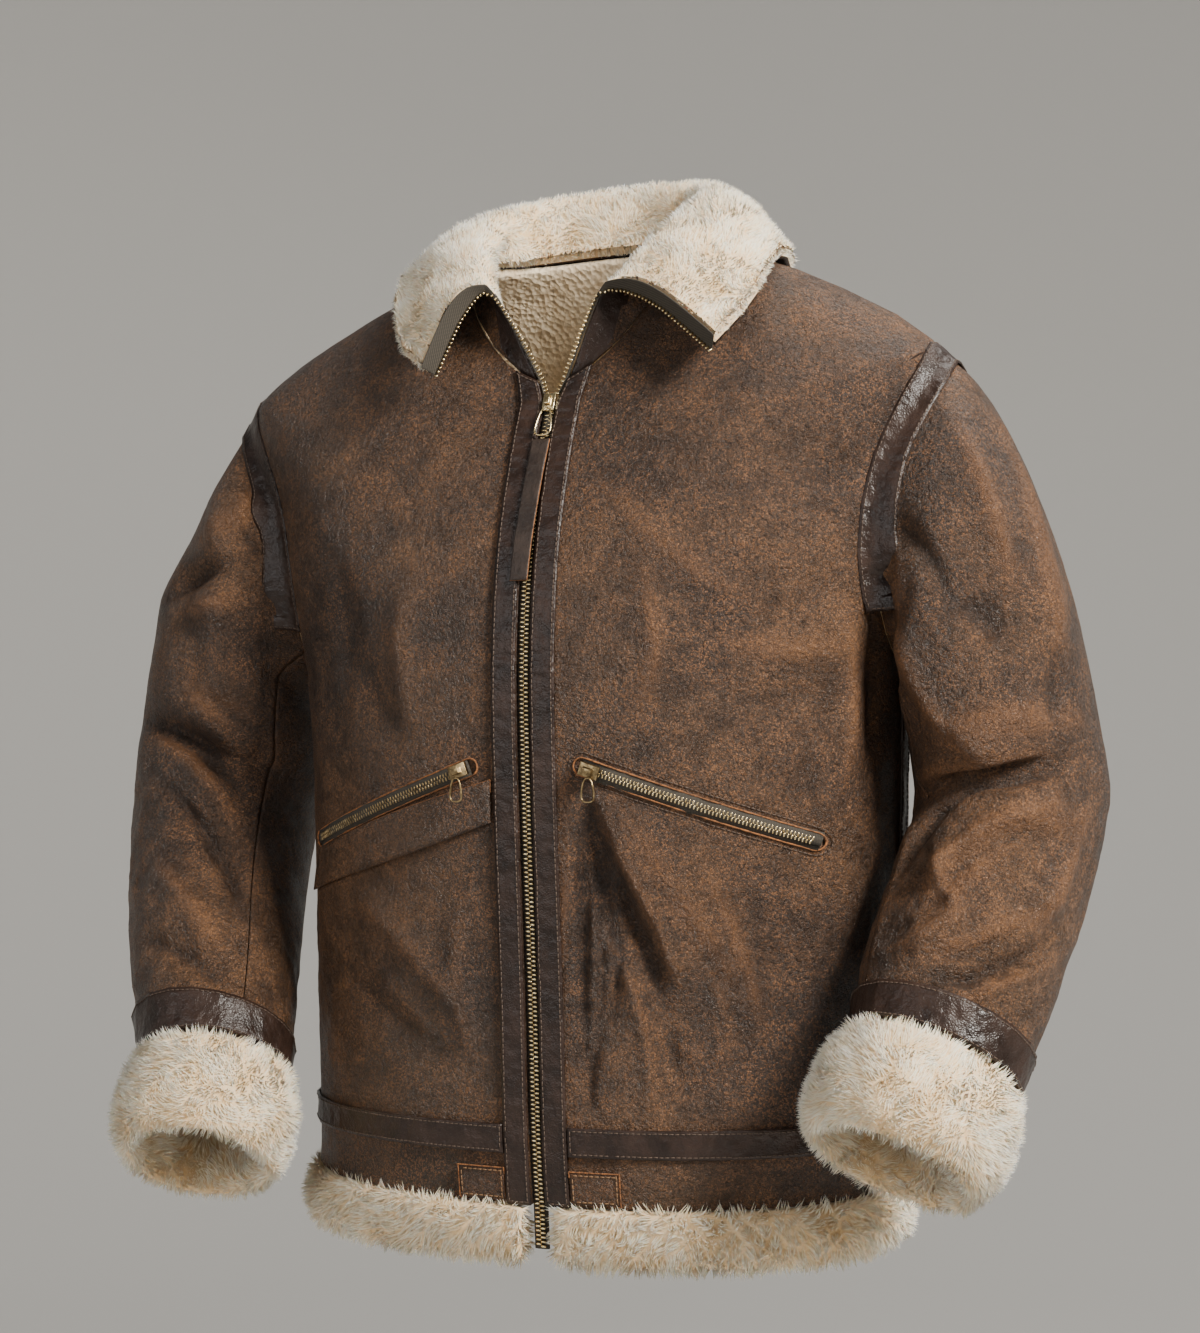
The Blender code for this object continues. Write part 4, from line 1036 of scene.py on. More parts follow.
def armhole_line(node):
    """The middle line of an armhole's tape, from front to back, with its outward directions."""
    bm = merged_copy(node)
    bmesh.ops.subdivide_edges(bm, edges=bm.edges, cuts=3, use_grid_fill=True)
    points = np.array([v.co[:] for v in bm.verts])
    bm.free()
    low, high = points.min(axis=0), points.max(axis=0)
    centre = np.array(((low[0] + high[0]) / 2, (low[1] + high[1]) / 2, low[2] - 0.005))
    angles = np.arctan2(points[:, 2] - centre[2], points[:, 1] - centre[1])
    middle = []
    for mark in np.linspace(angles.max() - 0.02, angles.min() + 0.02, ARM_MARKS):
        share = np.exp(-(((angles - mark) / ARM_BLUR) ** 2))
        middle.append((points * share[:, None]).sum(axis=0) / share.sum())
    # Both ends go on a little, down into the armpit
    middle = np.array([2 * middle[0] - middle[2], *middle, 2 * middle[-1] - middle[-3]])
    line, along = evenly(middle, ARM_TAPE_LENGTH / ARM_ROWS)
    along = unit(along)
    out = line - centre
    out[:, 0] = np.sign(centre[0]) * ARM_LEAN
    out -= along * (out * along).sum(axis=1)[:, None]
    return line, along, unit(out)


def smoothed(values, times_over):
    """An array of heights, blurred along and across."""
    for _ in range(times_over):
        values = np.pad(values, 1, mode="edge")
        values = (values[:-2, 1:-1] + values[2:, 1:-1] + values[1:-1, :-2] + values[1:-1, 2:]
                  + 2 * values[1:-1, 1:-1]) / 6
    return values


def heights_under(word, line, across, out, offsets):
    """How high the leather lies under a tape, from its middle line, by rays from above."""
    under = [f"front_{word}", "back", f"top_sleeve_{word}", f"under_sleeve_{word}"]
    trees = [tree_of(panels[name].data) for name in under]
    heights = np.full((len(line), len(offsets)), -ABOVE)
    for k in range(len(line)):
        for j, offset in enumerate(offsets):
            start = Vector(line[k] + across[k] * offset + out[k] * ABOVE)
            for tree in trees:
                distance = tree.ray_cast(start, Vector(-out[k]), 2.5 * ABOVE)[3]
                if distance is not None:
                    heights[k, j] = max(heights[k, j], ABOVE - distance)
    return heights


def ribbon_faces(rows, columns):
    """The faces of a ribbon with a top grid, a bottom grid and a rim, with their numbers."""
    half = rows * columns
    faces, numbers = [], []
    for k in range(rows - 1):
        for j in range(columns - 1):
            a, b = k * columns + j, k * columns + j + 1
            c, d = b + columns, a + columns
            faces += [(a, b, c, d), (a + half, d + half, c + half, b + half)]
            numbers += [OUTER, INNER]
    edge = [k * columns for k in range(rows)] + [(rows - 1) * columns + j for j in range(1, columns)]
    edge += [k * columns + columns - 1 for k in range(rows - 2, -1, -1)] + list(range(columns - 2, 0, -1))
    for a, b in zip(edge, edge[1:] + edge[:1]):
        faces.append((a, b, b + half, a + half))
        numbers.append(RIM)
    return np.array(faces), numbers


def armhole_tape(word):
    """Lays a tape over an armhole's seam and gives the finished piece."""
    node = f"armhole_tape_{word}"
    line, along, out = armhole_line(node)
    across = np.cross(along, out)
    offsets = np.linspace(-ARM_TAPE_HALF, ARM_TAPE_HALF, ARM_COLUMNS)
    heights = heights_under(word, line, across, out, offsets)
    highest = np.pad(heights, 1, mode="edge")
    heights = np.maximum(np.maximum(highest[:-2, 1:-1], highest[2:, 1:-1]),
                         np.maximum(highest[1:-1, :-2], highest[1:-1, 2:]))
    heights = smoothed(heights, 8) + ARM_TAPE_LIFT
    lengths = np.arange(len(line)) * ARM_TAPE_LENGTH / ARM_ROWS
    bow = 1 - (offsets / ARM_TAPE_HALF) ** 2
    ripple = np.array([[noise.noise(Vector((at * 190, offset * 60, 3.0))) for offset in offsets]
                       for at in lengths])
    heights += bow * (0.0004 + 0.0008 * np.clip(ripple + 0.1, 0, 1))
    top = line[:, None] + across[:, None] * offsets[None, :, None] + out[:, None] * heights[:, :, None]
    bottom = top - out[:, None] * ARM_TAPE_THICK
    points = np.concatenate([top.reshape(-1, 3), bottom.reshape(-1, 3)])
    faces, numbers = ribbon_faces(len(line), ARM_COLUMNS)
    made = mesh_from_arrays(node + "_strip", points, faces, trim_leather, trim_leather, trim_leather)
    made.data.polygons.foreach_set("material_index", numbers)
    outward_faces(made)
    dress(made, stands_for=node)
    print(made.name, "area", round(sum(p.area for p in made.data.polygons) / 2, 4))
    return made


for word in ("left", "right"):
    stitched += stitch_places(armhole_tape(word))
dress(joined_copies("tape_stitches", STITCH, stitched, dark_thread))
print(len(stitched), "stitches on the tapes")

# %% [markdown]
# ## Wool
#
# The wool is built twice. Below is a lumpy pad, a little smaller than the CAD form. On it
# stand thousands of short locks: fine spikes, in clumps whose tips lean together, and all
# combed along a flow that wanders, as real wool is. The pad shows as shade between them.
# The locks borrow the pad's own shading normals, because a mass of wool is lit as one soft
# form and not spike by spike.

# %% Wool helpers
# A lock's length and width, the spacing of locks and of clumps, all in metres, then how much
# the tips gather, how much they are combed and how much they fall
Fleece = namedtuple("Fleece", "length width spacing clump gather comb fall")


HIDDEN_SHARE = 0.3  # the share of locks that is kept where they are hidden


def grow_points(mesh, spacing, seed, hidden=None, bare=None):
    """Points spread evenly over a mesh, with their normals. Each is alone in its cell."""
    generator = np.random.default_rng(seed)
    mesh.calc_loop_triangles()
    triangles = np.empty(len(mesh.loop_triangles) * 3, np.int32)
    mesh.loop_triangles.foreach_get("vertices", triangles)
    triangles = triangles.reshape(-1, 3)
    points, normals = mesh_arrays(mesh)
    corners = points[triangles]
    areas = np.linalg.norm(np.cross(corners[:, 1] - corners[:, 0], corners[:, 2] - corners[:, 0]), axis=1) / 2
    count = int(areas.sum() / spacing**2 * 4)
    picked = generator.choice(len(triangles), count, p=areas / areas.sum())
    first, second = generator.random(count), generator.random(count)
    fold = first + second > 1
    first[fold], second[fold] = 1 - first[fold], 1 - second[fold]
    shares = np.stack([1 - first - second, first, second], axis=1)[:, :, None]
    spots = (corners[picked] * shares).sum(axis=1)
    facing = (normals[triangles[picked]] * shares).sum(axis=1)
    cells = np.floor(spots / spacing).astype(np.int64)
    key = (cells[:, 0] * 73856093) ^ (cells[:, 1] * 19349663) ^ (cells[:, 2] * 83492791)
    _, alone = np.unique(key, return_index=True)
    alone.sort()
    spots, facing = spots[alone], facing[alone]
    facing = unit(facing)
    if hidden is not None:
        kept = ~hidden(spots, facing) | (generator.random(len(spots)) < HIDDEN_SHARE)
        spots, facing = spots[kept], facing[kept]
    if bare is not None:
        kept = ~bare(spots, facing)
        spots, facing = spots[kept], facing[kept]
    return spots, facing, generator


LOCK_FACES = np.array([[2, 1, 0], [0, 1, 3], [1, 2, 3], [2, 0, 3]])
FLOW_SCALE = 42.0  # the wool's flow turns about every two centimetres
noise.seed_set(7)  # without a seed, noise_vector differs from run to run
ROOT_DEPTH = 0.0008  # the roots stand a little inside the pad
LUMP_SCALES = (70, 160)


def grow_wool(name, pad, fleece, seed, hidden=None, bare=None, shortened=None):
    """Locks of wool over a pad, as one joined mesh of four points to a lock."""
    roots, normals, generator = grow_points(pad.data, fleece.spacing, seed, hidden, bare)
    heads, _, _ = grow_points(pad.data, fleece.clump, seed + 1)
    clumps = KDTree(len(heads))
    for k, head in enumerate(heads):
        clumps.insert(head, k)
    clumps.balance()
    near = [clumps.find(root) for root in roots]
    to_head = np.array([hit[0][:] for hit in near]) - roots
    tone = generator.random(len(heads))[[hit[1] for hit in near]]
    lengths = fleece.length * generator.uniform(0.70, 1.12, len(roots))[:, None]
    if shortened is not None:
        lengths *= shortened(roots)[:, None]
    flow = np.array([noise.noise_vector(Vector(root) * FLOW_SCALE)[:] for root in roots]) * fleece.comb * 2
    flow[:, 2] -= fleece.fall
    scatter = generator.normal(0, 1, roots.shape)
    lean = flow + scatter * 0.14
    lean -= normals * (lean * normals).sum(axis=1)[:, None]
    way = unit(normals + lean)
    side = unit(np.cross(normals, scatter))
    other = np.cross(normals, side)
    points = np.empty((len(roots), 4, 3))
    for k in range(3):
        turn = 2 * math.pi * k / 3
        around = side * math.cos(turn) + other * math.sin(turn)
        points[:, k] = roots + around * fleece.width - normals * ROOT_DEPTH
    points[:, 3] = roots + way * lengths + to_head * fleece.gather
    faces = (LOCK_FACES[None] + (np.arange(len(roots)) * 4)[:, None, None]).reshape(-1, 3)
    obj = mesh_from_arrays(name, points.reshape(-1, 3), faces, long_wool)
    soft = unit(normals + 0.25 * way)
    obj.data.normals_split_custom_set_from_vertices(np.repeat(soft, 4, axis=0).tolist())
    for label, values in (("tip", np.tile([0, 0, 0, 1.0], len(roots))),
                          ("lock", np.repeat(tone * 0.7 + generator.random(len(roots)) * 0.3, 4))):
        attribute = obj.data.attributes.new(label, "FLOAT", "POINT")
        attribute.data.foreach_set("value", values.astype(np.float32))
    print(name, len(roots), "locks")
    return dress(obj)


def sink(obj, depth, lumps, share):
    """Moves a pad's points in by their share of a depth, unevenly, to make room for locks."""
    points, normals = mesh_arrays(obj.data)
    moved = share * np.array([depth + lumps * sum(noise.noise(Vector(p) * scale) for scale in LUMP_SCALES)
                              for p in points])
    move_points(obj.data, points - normals * moved[:, None])


# %% [markdown]
# ### Cuffs and hem
#
# Here the sleeve's own wool is turned out and rolled, so each trim is a soft closed roll.
# The hem's wool is longer and curls into separate locks; the cuffs' is brushed and dense.

# %% Cuffs and hem
CUFF_WOOL = Fleece(0.0072, 0.00060, 0.0019, 0.0080, 0.40, 0.85, 0.10)
HEM_WOOL = Fleece(0.0085, 0.00070, 0.0021, 0.0075, 0.70, 0.60, 0.45)
PAD_DEPTH, PAD_LUMPS = 0.0044, 0.0014
SEAM_REACH = 0.012  # a pad keeps its full size beside the seam that holds it


def pad_of(name, node, seam):
    """A soft closed copy of a trim's form, sunk by the length that its locks need."""
    bm = merged_copy(node)
    bmesh.ops.recalc_face_normals(bm, faces=bm.faces)
    obj = object_from(name, bm, long_wool)
    apply_modifier(obj, "SUBSURF", levels=2, render_levels=2)
    held = BVHTree.FromBMesh(merged_copy(seam))
    apart = np.array([held.find_nearest(v.co)[3] for v in obj.data.vertices])
    sink(obj, PAD_DEPTH, PAD_LUMPS, np.clip(apart / SEAM_REACH, 0.10, 1.0))
    dress(obj, stands_for=node)
    return obj


def inside_of(node):
    """True for points whose normal looks towards the middle of a roll."""
    low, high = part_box(node)
    centre = (np.array(low[:]) + np.array(high[:])) / 2

    def looks_in(spots, facing):
        inward = ((spots - centre)[:, :2] * facing[:, :2]).sum(axis=1) < -0.02
        return inward & (np.abs(spots[:, 0]) > 0.04)  # the front ends stay woolly all round
    return looks_in


SEAMS = {"cuff_fleece_left": "cuff_tape_left", "cuff_fleece_right": "cuff_tape_right",
         "hem_fleece_left": "hem_band_front_left", "hem_fleece_right": "hem_band_front_right",
         "hem_fleece_back": "hem_band_back"}
for seed, (node, seam) in enumerate(SEAMS.items()):
    wool = CUFF_WOOL if node.startswith("cuff") else HEM_WOOL
    pad = pad_of(node + "_pad", node, seam)
    grow_wool(node + "_locks", pad, wool, 10 * seed + 1, inside_of(node) if node.startswith("hem") else None)


# %% [markdown]
# ### The collar
#
# One piece of long-wool shearling makes the stand and the leaf that turns down over it. Its
# wool is outside on the leaf and inside on the stand, and its skin lies hidden under the
# leaf, where it is dark. The collar's two front ends are bare of wool where the zip is sewn.

# %% Collar
COLLAR_WOOL = Fleece(0.0062, 0.00060, 0.0020, 0.0090, 0.35, 0.75, 0.10)
SINK, LUMPS = 0.0045, 0.0010
CUT_EDGE = 0.0028  # the part of the collar's rim that shows its skin
ZIP_REACH, ZIP_DEPTH = 0.009, 0.0004
FULL_LENGTH = 0.0075  # locks keep their full length where the collar is this thick
EDGE_STRIP, STRIP_WIDTH = 3, 0.018  # the material slot of the strip along the zip
collar = shell("collar_shearling", "collar", 0, (long_wool, body_leather, long_wool),
               outer_is_higher=True)


def part_of(obj, numbers):
    """A copy of a piece with only the faces in some material slots."""
    bm = bmesh.new()
    bm.from_mesh(obj.data)
    bmesh.ops.delete(bm, geom=[f for f in bm.faces if f.material_index not in numbers], context="FACES")
    return object_from("part", bm)


hide_side = part_of(collar, {INNER})
collar_skin = tree_of(hide_side.data)
bpy.data.objects.remove(hide_side)
# The skin shows on the nearest part of its cut edge
for face in collar.data.polygons:
    if face.material_index == RIM and collar_skin.find_nearest(face.center)[3] < CUT_EDGE:
        face.material_index = INNER
woolly = faces_of_points(collar.data, OUTER) | faces_of_points(collar.data, RIM)
skin = faces_of_points(collar.data, INNER)


def thickness_at(spots):
    return np.array([collar_skin.find_nearest(spot)[3] for spot in spots])


points, _ = mesh_arrays(collar.data)
depths = np.minimum(1, 0.42 * thickness_at(points) / SINK)
sink(collar, SINK, LUMPS, np.where(woolly & ~skin, depths, 0.0))
ends = [BVHTree.FromBMesh(merged_copy(node)) for node in ("zip_side_left", "zip_side_right")]
# The placket's dark strip goes on up the stand's leather side, along the zip
collar.data.materials.append(trim_leather)
for face in collar.data.polygons:
    if face.material_index == INNER and any(end.find_nearest(face.center, STRIP_WIDTH)[0] for end in ends):
        face.material_index = EDGE_STRIP


def at_the_zip(spots, facing):
    """True under the zip's open sides, where the collar's end is bare."""
    def covered(spot, way):
        nearest = [end.find_nearest(spot, ZIP_REACH)[0] for end in ends]
        return any(hit is not None and (hit - Vector(spot)).dot(Vector(way)) > ZIP_DEPTH for hit in nearest)
    return np.array([covered(spot, way) for spot, way in zip(spots, facing)])


def clipped(spots):
    """The share of their length that locks keep, less where the collar is thin."""
    return np.clip(thickness_at(spots) / FULL_LENGTH, 0.25, 1.0)


part = part_of(collar, {OUTER, RIM})
collar_locks = grow_wool("collar_locks", part, COLLAR_WOOL, 77, bare=at_the_zip, shortened=clipped)
bpy.data.objects.remove(part)
print("collar area", round(sum(p.area for p in collar.data.polygons) / 2, 4))

# %% [markdown]
# ## The main zip
#
# The zip's brass teeth are clamped in turn on the edges of two tapes. One tooth is modelled
# as a block with a rounded head, and copied along the line where the two edges meet. That
# line is found by rays sent back from in front of the CAD chain.

# %% One tooth
def modelled_block(length, width, height, bevel):
    """A bevelled block at the origin, in metres: along x, across y and up z."""
    bpy.ops.object.select_all(action="DESELECT")
    bpy.ops.mesh.primitive_cube_add(size=1)
    block = bpy.context.object
    bpy.ops.transform.resize(value=(length, width, height))
    bpy.ops.object.transform_apply(location=True, rotation=True, scale=True)
    bpy.ops.object.mode_set(mode="EDIT")
    bpy.ops.mesh.select_all(action="SELECT")
    bpy.ops.mesh.bevel(offset=bevel, segments=1)
    bpy.ops.object.mode_set(mode="OBJECT")
    return block


PITCH = 0.0031  # from one tooth to the next on the same tape
TOOTH = model_of(modelled_block(0.0015, 0.0038, 0.0020, 0.0004))
SMALL_TOOTH = model_of(modelled_block(0.0013, 0.0030, 0.0016, 0.00035))
print("a tooth has", len(TOOTH[1]), "triangles")


def teeth_along(line, outs, pitch, reach, top):
    """Places for the teeth of a closed chain: two rows, out of step by half a pitch."""
    places = []
    line, directions = evenly(line, pitch / 2)
    for k, (point, along) in enumerate(zip(line, directions)):
        along, across, out = frame_from(along, outs(point))
        side = 1 if k % 2 else -1
        places.append((point + across * side * reach - out * top, along, across, out))
    return places


# %% Closed chain
node_trees = {node: BVHTree.FromBMesh(merged_copy(node)) for node in ("main_zip", "front_left", "front_right")}


def from_front(node, x, z):
    """Where a ray sent back from in front first meets a CAD node, and its direction there."""
    hit, normal, _, _ = node_trees[node].ray_cast(Vector((x, -1, z)), Vector((0, 1, 0)))
    return hit, normal


low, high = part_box("main_zip")
hits = [from_front("main_zip", 0, z)[0] for z in np.arange(low.z + 0.002, high.z - 0.004, 0.01)]
crest = np.array([hit[:] for hit in hits if hit])


def out_of_chain(point):
    """The direction out of the chain at the height of a point."""
    k = int(np.argmin(np.abs(crest[:, 2] - point[2])))
    k = min(max(k, 1), len(crest) - 2)
    slope = crest[k + 1] - crest[k - 1]
    return np.array((0, -slope[2], slope[1]))


# The CAD chain's crest sinks to the level of a tape, and the teeth take its place
CREST_SUNK, CREST_HALF, CREST_THICK = 0.0016, 0.004, 0.0012
MAIN_REACH, MAIN_TOP = 0.0017, 0.0009  # the teeth's distance from the middle, and their depth
bm = merged_copy("main_zip")
for vertex in bm.verts:
    nearest = crest[np.argmin(np.linalg.norm(crest[:, 1:] - np.array(vertex.co[1:]), axis=1))]
    if abs(vertex.co.x) < CREST_HALF and abs(vertex.co.y - nearest[1]) < CREST_THICK:
        vertex.co.y += CREST_SUNK
dress(object_from("main_zip_tape", bm, zip_tape), stands_for="main_zip")
places = teeth_along(crest, out_of_chain, PITCH, MAIN_REACH, MAIN_TOP)
main_teeth = dress(joined_copies("main_zip_teeth", TOOTH, places, brass))
print("main chain", len(main_teeth.data.polygons), "faces")

# %% [markdown]
# ## The open zip
#
# Above the slider the zip is open. Its two tapes go on up the front edges and round the
# collar's ends to the tips of the leaf. Each tape covers the thickness of the collar's end
# like a band, and its teeth stand out from the edge nearest the skin. The CAD strip is a
# row of rings with four corners, so its corner lines can be followed from end to end.


# %% Open sides
def corner_lines(node):
    """The four corner lines of a strip that is made of rings of four, from its lower end."""
    bm = bmesh.new()
    bm.from_mesh(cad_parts[node].data)
    bmesh.ops.remove_doubles(bm, verts=bm.verts, dist=1e-6)
    bmesh.ops.join_triangles(bm, faces=bm.faces, angle_face_threshold=3.1, angle_shape_threshold=3.1)
    caps = [face for face in bm.faces if all(len(v.link_edges) == 3 for v in face.verts)]
    ring = list(min(caps, key=lambda face: face.calc_center_median().z).verts)
    seen = set(ring)
    lines = [[v.co.copy()] for v in ring]
    while True:
        ring = [next((e.other_vert(v) for e in v.link_edges if e.other_vert(v) not in seen), None)
                for v in ring]
        if None in ring:
            break
        seen.update(ring)
        for line, v in zip(lines, ring):
            line.append(v.co.copy())
    bm.free()
    return [np.array(line) for line in lines]


OPEN_REACH, OPEN_TOP = 0.0010, 0.0012


def open_side(word):
    """One open side of the zip: its tape, and its teeth along the edge nearest the skin."""
    node = f"zip_side_{word}"
    lines = corner_lines(node)
    # The two corners nearest the skin are the ones furthest to the front at the lower end
    order = sorted(range(4), key=lambda k: lines[k][0][1])
    outer = sorted(order[:2], key=lambda k: abs(lines[k][0][0]))
    inner = sorted(order[2:], key=lambda k: abs(lines[k][0][0]))
    edge, back, deep = lines[outer[0]], lines[outer[1]], lines[inner[0]]
    away, skin = edge - back, edge - deep
    points, directions = evenly(edge, PITCH)
    places = []
    for point, along in zip(points, directions):
        k = int(np.argmin(np.linalg.norm(edge - point, axis=1)))
        along = unit(along)
        across = unit(away[k] - along * (away[k] @ along))
        out = np.cross(along, across)
        out *= np.sign(out @ skin[k])
        places.append((point + across * OPEN_REACH - out * OPEN_TOP, along, across, out))
    dress(joined_copies(f"open_teeth_{word}", TOOTH, places, brass))
    tape = object_from(f"open_tape_{word}", merged_copy(node), zip_tape)
    apply_modifier(tape, "BEVEL", width=0.0004, segments=1)
    apply_modifier(tape, "SUBSURF", levels=2, render_levels=2)
    dress(tape, stands_for=node)
    print(node, len(edge), "rings,", len(places), "teeth")


for word in ("left", "right"):
    open_side(word)

# %% [markdown]
# ## The pockets
#
# Each pocket mouth is a slit with a zip in it. The leather is cut through and its raw edge
# left showing, so a narrow orange lip runs round a dark strip of tape and a small chain, and
# on the near pocket a row of stitches runs round outside the lip. All of it is laid on the
# front by rays, from the slit's two ends in metres, and follows the front's curve.

# %% Pocket pieces
POCKET_IN, POCKET_OUT = Vector((0.042, -0.377)), Vector((0.190, -0.429))
POCKET_LINE = POCKET_OUT - POCKET_IN
POCKET_HALF, SEAM_HALF = 0.0060, 0.0094  # from the slit's middle to its lip and its stitches
SLIT_STEPS, SLIT_ENDS = 46, 8  # steps along each side, and round each rounded end
LIP = [(-0.0006, 0.0002), (-0.0005, 0.0011), (0.0000, 0.0016), (0.0005, 0.0011), (0.0007, 0.0001)]
SMALL_PITCH, SMALL_REACH, SMALL_TOP = 0.0026, 0.0014, 0.0004


def front_frame(word, x, z):
    """A point on a front, and the skin's direction there."""
    hit, normal = from_front(f"front_{word}", x, z)
    return np.array(hit), np.array(normal)


def on_pocket(word, along, across, out):
    """A point by its share along the slit and its distances across and out."""
    side = 1 if word == "left" else -1
    up = Vector((-POCKET_LINE.y, POCKET_LINE.x)).normalized()
    at = POCKET_IN + POCKET_LINE * along + up * across
    point, normal = front_frame(word, side * at.x, at.y)
    return point + normal * out, normal


def slit_outline(half):
    """A long loop with round ends, as shares along and distances across."""
    def round_end(middle, first_turn):
        turns = [first_turn - math.pi * k / SLIT_ENDS for k in range(1, SLIT_ENDS)]
        return [(middle + half * math.cos(turn) / POCKET_LINE.length, half * math.sin(turn)) for turn in turns]
    there = [(k / SLIT_STEPS, half) for k in range(SLIT_STEPS + 1)]
    back = [(1 - k / SLIT_STEPS, -half) for k in range(SLIT_STEPS + 1)]
    return there + round_end(1, math.pi / 2) + back + round_end(0, -math.pi / 2)


def lip(word):
    """The raw lip round the slit: a rounded bead of cut leather, as a closed tube."""
    rings = []
    for along, across in slit_outline(POCKET_HALF):
        straight = min(max(along, 0), 1)
        for off, out in LIP:
            grow = 1 + off / POCKET_HALF
            rings.append(on_pocket(word, straight + (along - straight) * grow, across * grow, out)[0])
    points = np.array(rings)
    corners = len(LIP)
    count = len(rings) // corners
    faces = [[a * corners + b, a * corners + (b + 1) % corners,
              ((a + 1) % count) * corners + (b + 1) % corners, ((a + 1) % count) * corners + b]
             for a in range(count) for b in range(corners)]
    made = mesh_from_arrays(f"pocket_lip_{word}", points, np.array(faces), raw_edge)
    outward_faces(made)
    points, normals = mesh_arrays(made.data)
    uneven = np.array([0.00035 * noise.noise(Vector(p) * 500) for p in points])
    move_points(made.data, points + normals * uneven[:, None])
    dress(made)


def pocket(word):
    """One pocket's tape, chain, lip and, on the near one, stitches."""
    node = f"pocket_zip_{word}"
    tape = object_from(f"pocket_tape_{word}", merged_copy(node), zip_tape)
    for vertex in tape.data.vertices:
        _, normal = front_frame(word, vertex.co.x, vertex.co.z)
        vertex.co -= Vector(normal) * 0.0009
    dress(tape, stands_for=node)
    line = np.array([on_pocket(word, share, 0, 0.0022)[0] for share in np.linspace(0.02, 0.985, 40)])

    def out(point):
        return front_frame(word, point[0], point[2])[1]
    places = teeth_along(line, out, SMALL_PITCH, SMALL_REACH, SMALL_TOP)
    teeth = joined_copies(f"pocket_teeth_{word}", SMALL_TOOTH, places, brass if word == "left" else dark_brass)
    dress(teeth)
    lip(word)
    if word == "left":
        ring = np.array([on_pocket(word, along, across, 0.0)[0] for along, across in slit_outline(SEAM_HALF)])
        points, directions = evenly(ring, 0.0036, closed=True)
        places = []
        for point, along in zip(points, directions):
            frame_here = frame_from(along, out(point))
            places.append((point + frame_here[2] * 0.0002, *frame_here))
        dress(joined_copies(f"pocket_stitches_{word}", STITCH, places, dark_thread))
    print(node, "teeth", len(teeth.data.polygons), "faces")


for word in ("left", "right"):
    pocket(word)

# %% [markdown]
# The far pocket also has a strip of leather under its mouth, with an orange cut edge along
# its top. The same goes for the two small patches at the hem's front corners: a lighter
# leather whose cut edges glow orange. Both are fine copies of their CAD plates.

# %% Patches and facing
FACING_IN, FACING_OUT = Vector((0.026, -0.394)), Vector((0.190, -0.446))  # just under its top


def shows_raw(node, point):
    """True on the edges that are left raw: a patch's top and outer side, the facing's top."""
    if node == "pocket_facing_right":
        share = (-point[0] - FACING_IN.x) / (FACING_OUT.x - FACING_IN.x)
        return point[2] > FACING_IN.y + (FACING_OUT.y - FACING_IN.y) * share
    low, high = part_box(node)
    reach = max(abs(low.x), abs(high.x))
    return point[2] > high.z - 0.0045 or abs(point[0]) > reach - 0.0015


PLATE = 0.0012  # the plates' thickness
PLATES = {
    "pocket_facing_right": ("leather", (body_leather, body_leather, body_leather), Cut(0.185, 0.036, 0.0059)),
    "hem_patch_left": ("patch_leather", (patch_leather, patch_leather, raw_edge), Cut(0.038, 0.0235, 0.00087)),
    "hem_patch_right": ("patch_leather", (patch_leather, patch_leather, raw_edge), Cut(0.038, 0.0235, 0.00087)),
}
BEAD = model_of(modelled_block(0.0021, 0.0008, 0.0011, 0.0003))
BEAD_PITCH = 0.0015
for node, (slot, finishes, cut) in PLATES.items():
    plate = shell(node + "_leather", node, 1, finishes, PLATE)
    pucker(plate, 0.0004, (150, 150, 150))
    dress(joined_copies(node + "_stitches", STITCH, stitch_places(plate, 0.0022), tan_thread))
    # The cut edge shows as a thin bead along the plate's raw edges
    beads = []
    for points, inward in skin_borders(plate.data):
        line, directions = evenly(points - inward * 0.0001, BEAD_PITCH, closed=True)
        beads += [(point, *frame_from(along, np.array((0.0, -1.0, 0.0)))) for point, along in
                  zip(line, directions) if shows_raw(node, point)]
    dress(joined_copies(node + "_edge", BEAD, beads, raw_edge))

# %% [markdown]
# ## Sliders and pulls
#
# A slider is two small plates held apart by a post, with a lug on top that the pull hangs
# from. The plates are bevelled copies of one outline. The pull is a bent brass wire: the
# main one widens to a stirrup that holds a leather strap, so the zip can be found without
# looking. The pulls swing, so each rides on its own body.

# %% Sliders and pulls
for node in ("zip_slider", "pocket_slider_left", "pocket_slider_right"):
    slider = object_from(node + "_body", merged_copy(node), brass if node == "zip_slider" else dark_brass)
    apply_modifier(slider, "BEVEL", width=0.0006, segments=2, limit_method="ANGLE",
                   angle_limit=math.radians(30))
    slider.data.shade_flat()
    select_only(slider)
    bpy.ops.object.shade_smooth_by_angle(angle=math.radians(40))
    dress(slider, stands_for=node)

PULL_BODIES = {"zip_pull": "main_pull", "pocket_pull_left": "left_pocket_pull",
               "pocket_pull_right": "right_pocket_pull"}
for node, body in PULL_BODIES.items():
    pull = object_from(node + "_wire", merged_copy(node), brass if node == "zip_pull" else dark_brass)
    apply_modifier(pull, "SUBSURF", levels=2, render_levels=2)
    dress(pull, body, node)

strap = shell("pull_strap_leather", "pull_strap", 1, (strap_leather, strap_leather, raw_edge),
              TRIM, body="main_pull")
pucker(strap, 0.0005, (70, 70, 70))

# %% [markdown]
# ## Floor and light
#
# The floor is a wide disc whose rim bends up into a wall, as a paper sweep does, so that no
# line shows behind the jacket. A small lamp from the right brings out the creases, a large
# weak one fills the shadows, and one above and behind lights the shoulders and the collar.

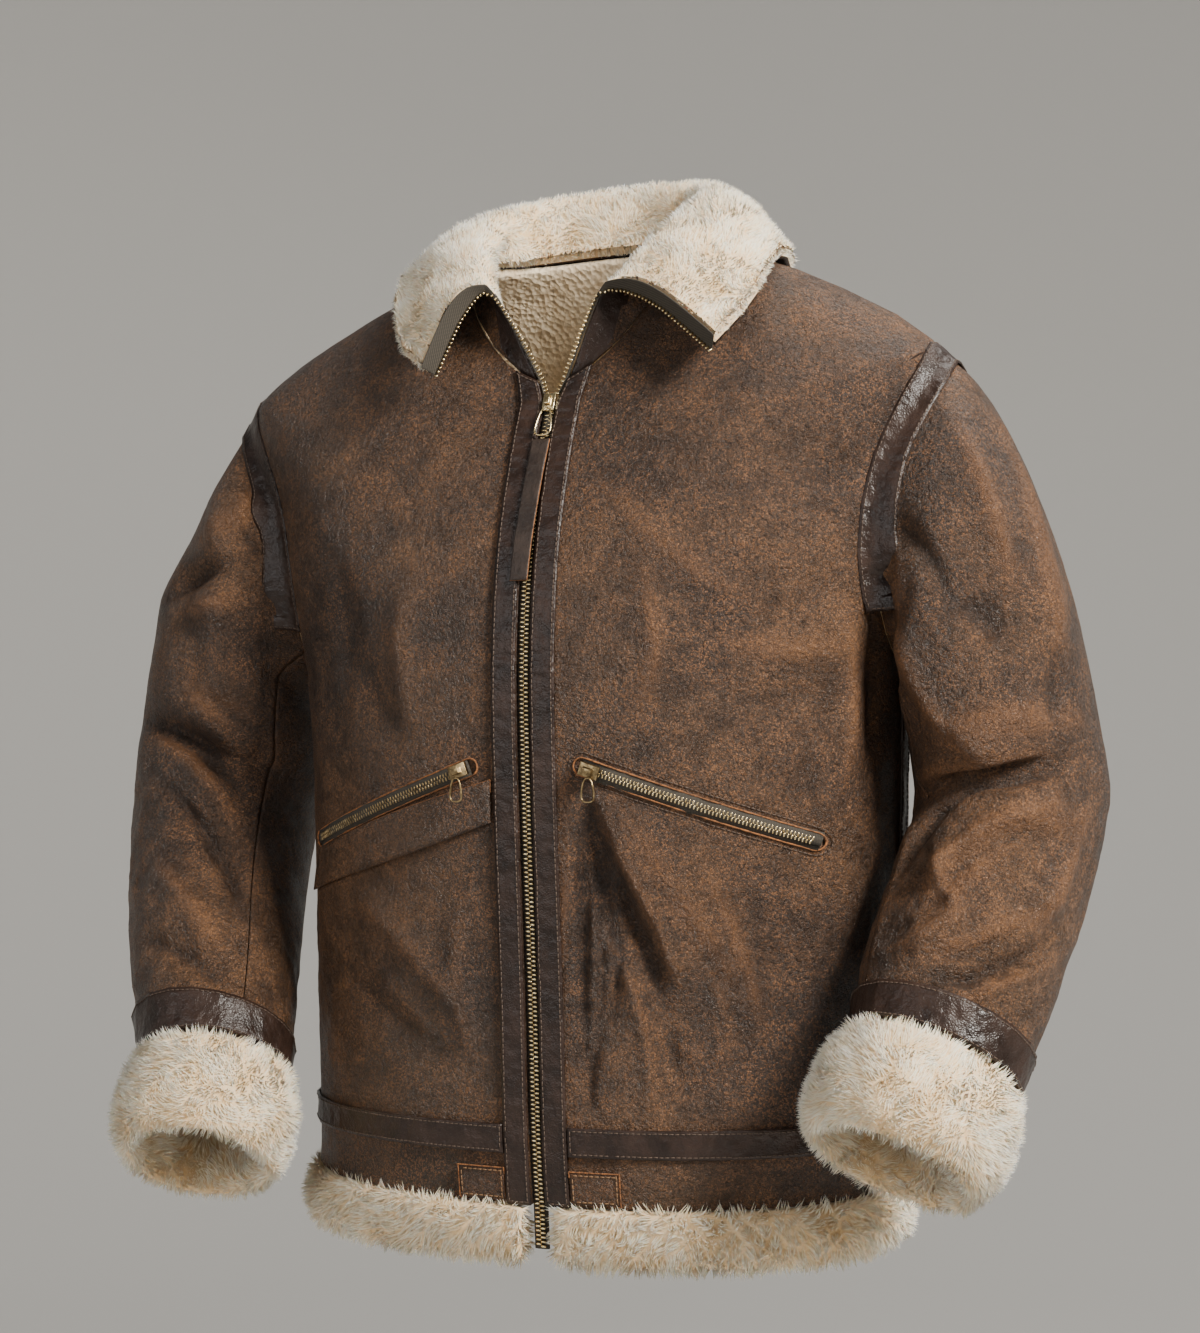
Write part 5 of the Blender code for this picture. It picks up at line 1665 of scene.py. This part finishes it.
# %% The floor and light
FLOOR_Z, FLOOR_REACH = -1.45, 2.6
BEND, STEPS, WALL = 2.0, 12, 1.2  # the bend's radius and steps, and the wall's height over it
bpy.ops.object.select_all(action="DESELECT")
bpy.ops.mesh.primitive_circle_add(vertices=96, radius=FLOOR_REACH, fill_type="NGON", location=(0, 0, FLOOR_Z))
floor = bpy.context.object
floor.name = "floor"
bpy.ops.object.transform_apply(location=True, rotation=True, scale=True)
bpy.ops.object.mode_set(mode="EDIT")
bpy.ops.mesh.select_mode(type="EDGE")
bpy.ops.mesh.select_all(action="SELECT")
turns = [math.pi / 2 * k / STEPS for k in range(STEPS + 1)]
rims = [(FLOOR_REACH + BEND * math.sin(turn), BEND * (1 - math.cos(turn))) for turn in turns]
rims.append((rims[-1][0], rims[-1][1] + WALL))
for (radius, height), (wider, higher) in zip(rims, rims[1:]):
    bpy.ops.mesh.extrude_edges_move(TRANSFORM_OT_translate={"value": (0, 0, higher - height)})
    bpy.ops.transform.resize(value=(wider / radius, wider / radius, 1), center_override=(0, 0, 0))
bpy.ops.object.mode_set(mode="OBJECT")
floor.data.shade_smooth()
pale_floor = bpy.data.materials.new("pale_floor")
pale_floor.use_nodes = True
pale_floor.node_tree.nodes["Principled BSDF"].inputs["Base Color"].default_value = (0.62, 0.61, 0.59, 1)
pale_floor.node_tree.nodes["Principled BSDF"].inputs["Roughness"].default_value = 0.9
floor.data.materials.append(pale_floor)

world = bpy.data.worlds.new("studio")
world.use_nodes = True
world.node_tree.nodes["Background"].inputs["Color"].default_value = (0.60, 0.60, 0.60, 1)
world.node_tree.nodes["Background"].inputs["Strength"].default_value = 0.30
bpy.context.scene.world = world

AIM = Vector((0, 0, -0.35))  # the lamps look at the jacket's chest
Lamp = namedtuple("Lamp", "name place size power colour")
LAMPS = [
    Lamp("key", (2.1, -0.85, 1.05), 0.8, 165, (1.0, 0.96, 0.89)),
    Lamp("fill", (-0.9, -2.4, 0.3), 1.6, 22, (0.97, 0.98, 1.0)),
    Lamp("top", (0.6, 0.9, 1.9), 1.5, 34, (1.0, 0.97, 0.92)),
]
for lamp in LAMPS:
    data = bpy.data.lights.new(lamp.name, "AREA")
    data.energy, data.size, data.color = lamp.power, lamp.size, lamp.colour
    light = bpy.data.objects.new(lamp.name, data)
    light.location = lamp.place
    light.rotation_mode = "QUATERNION"
    light.rotation_quaternion = (Vector(lamp.place) - AIM).to_track_quat("Z", "Y")
    bpy.context.scene.collection.objects.link(light)
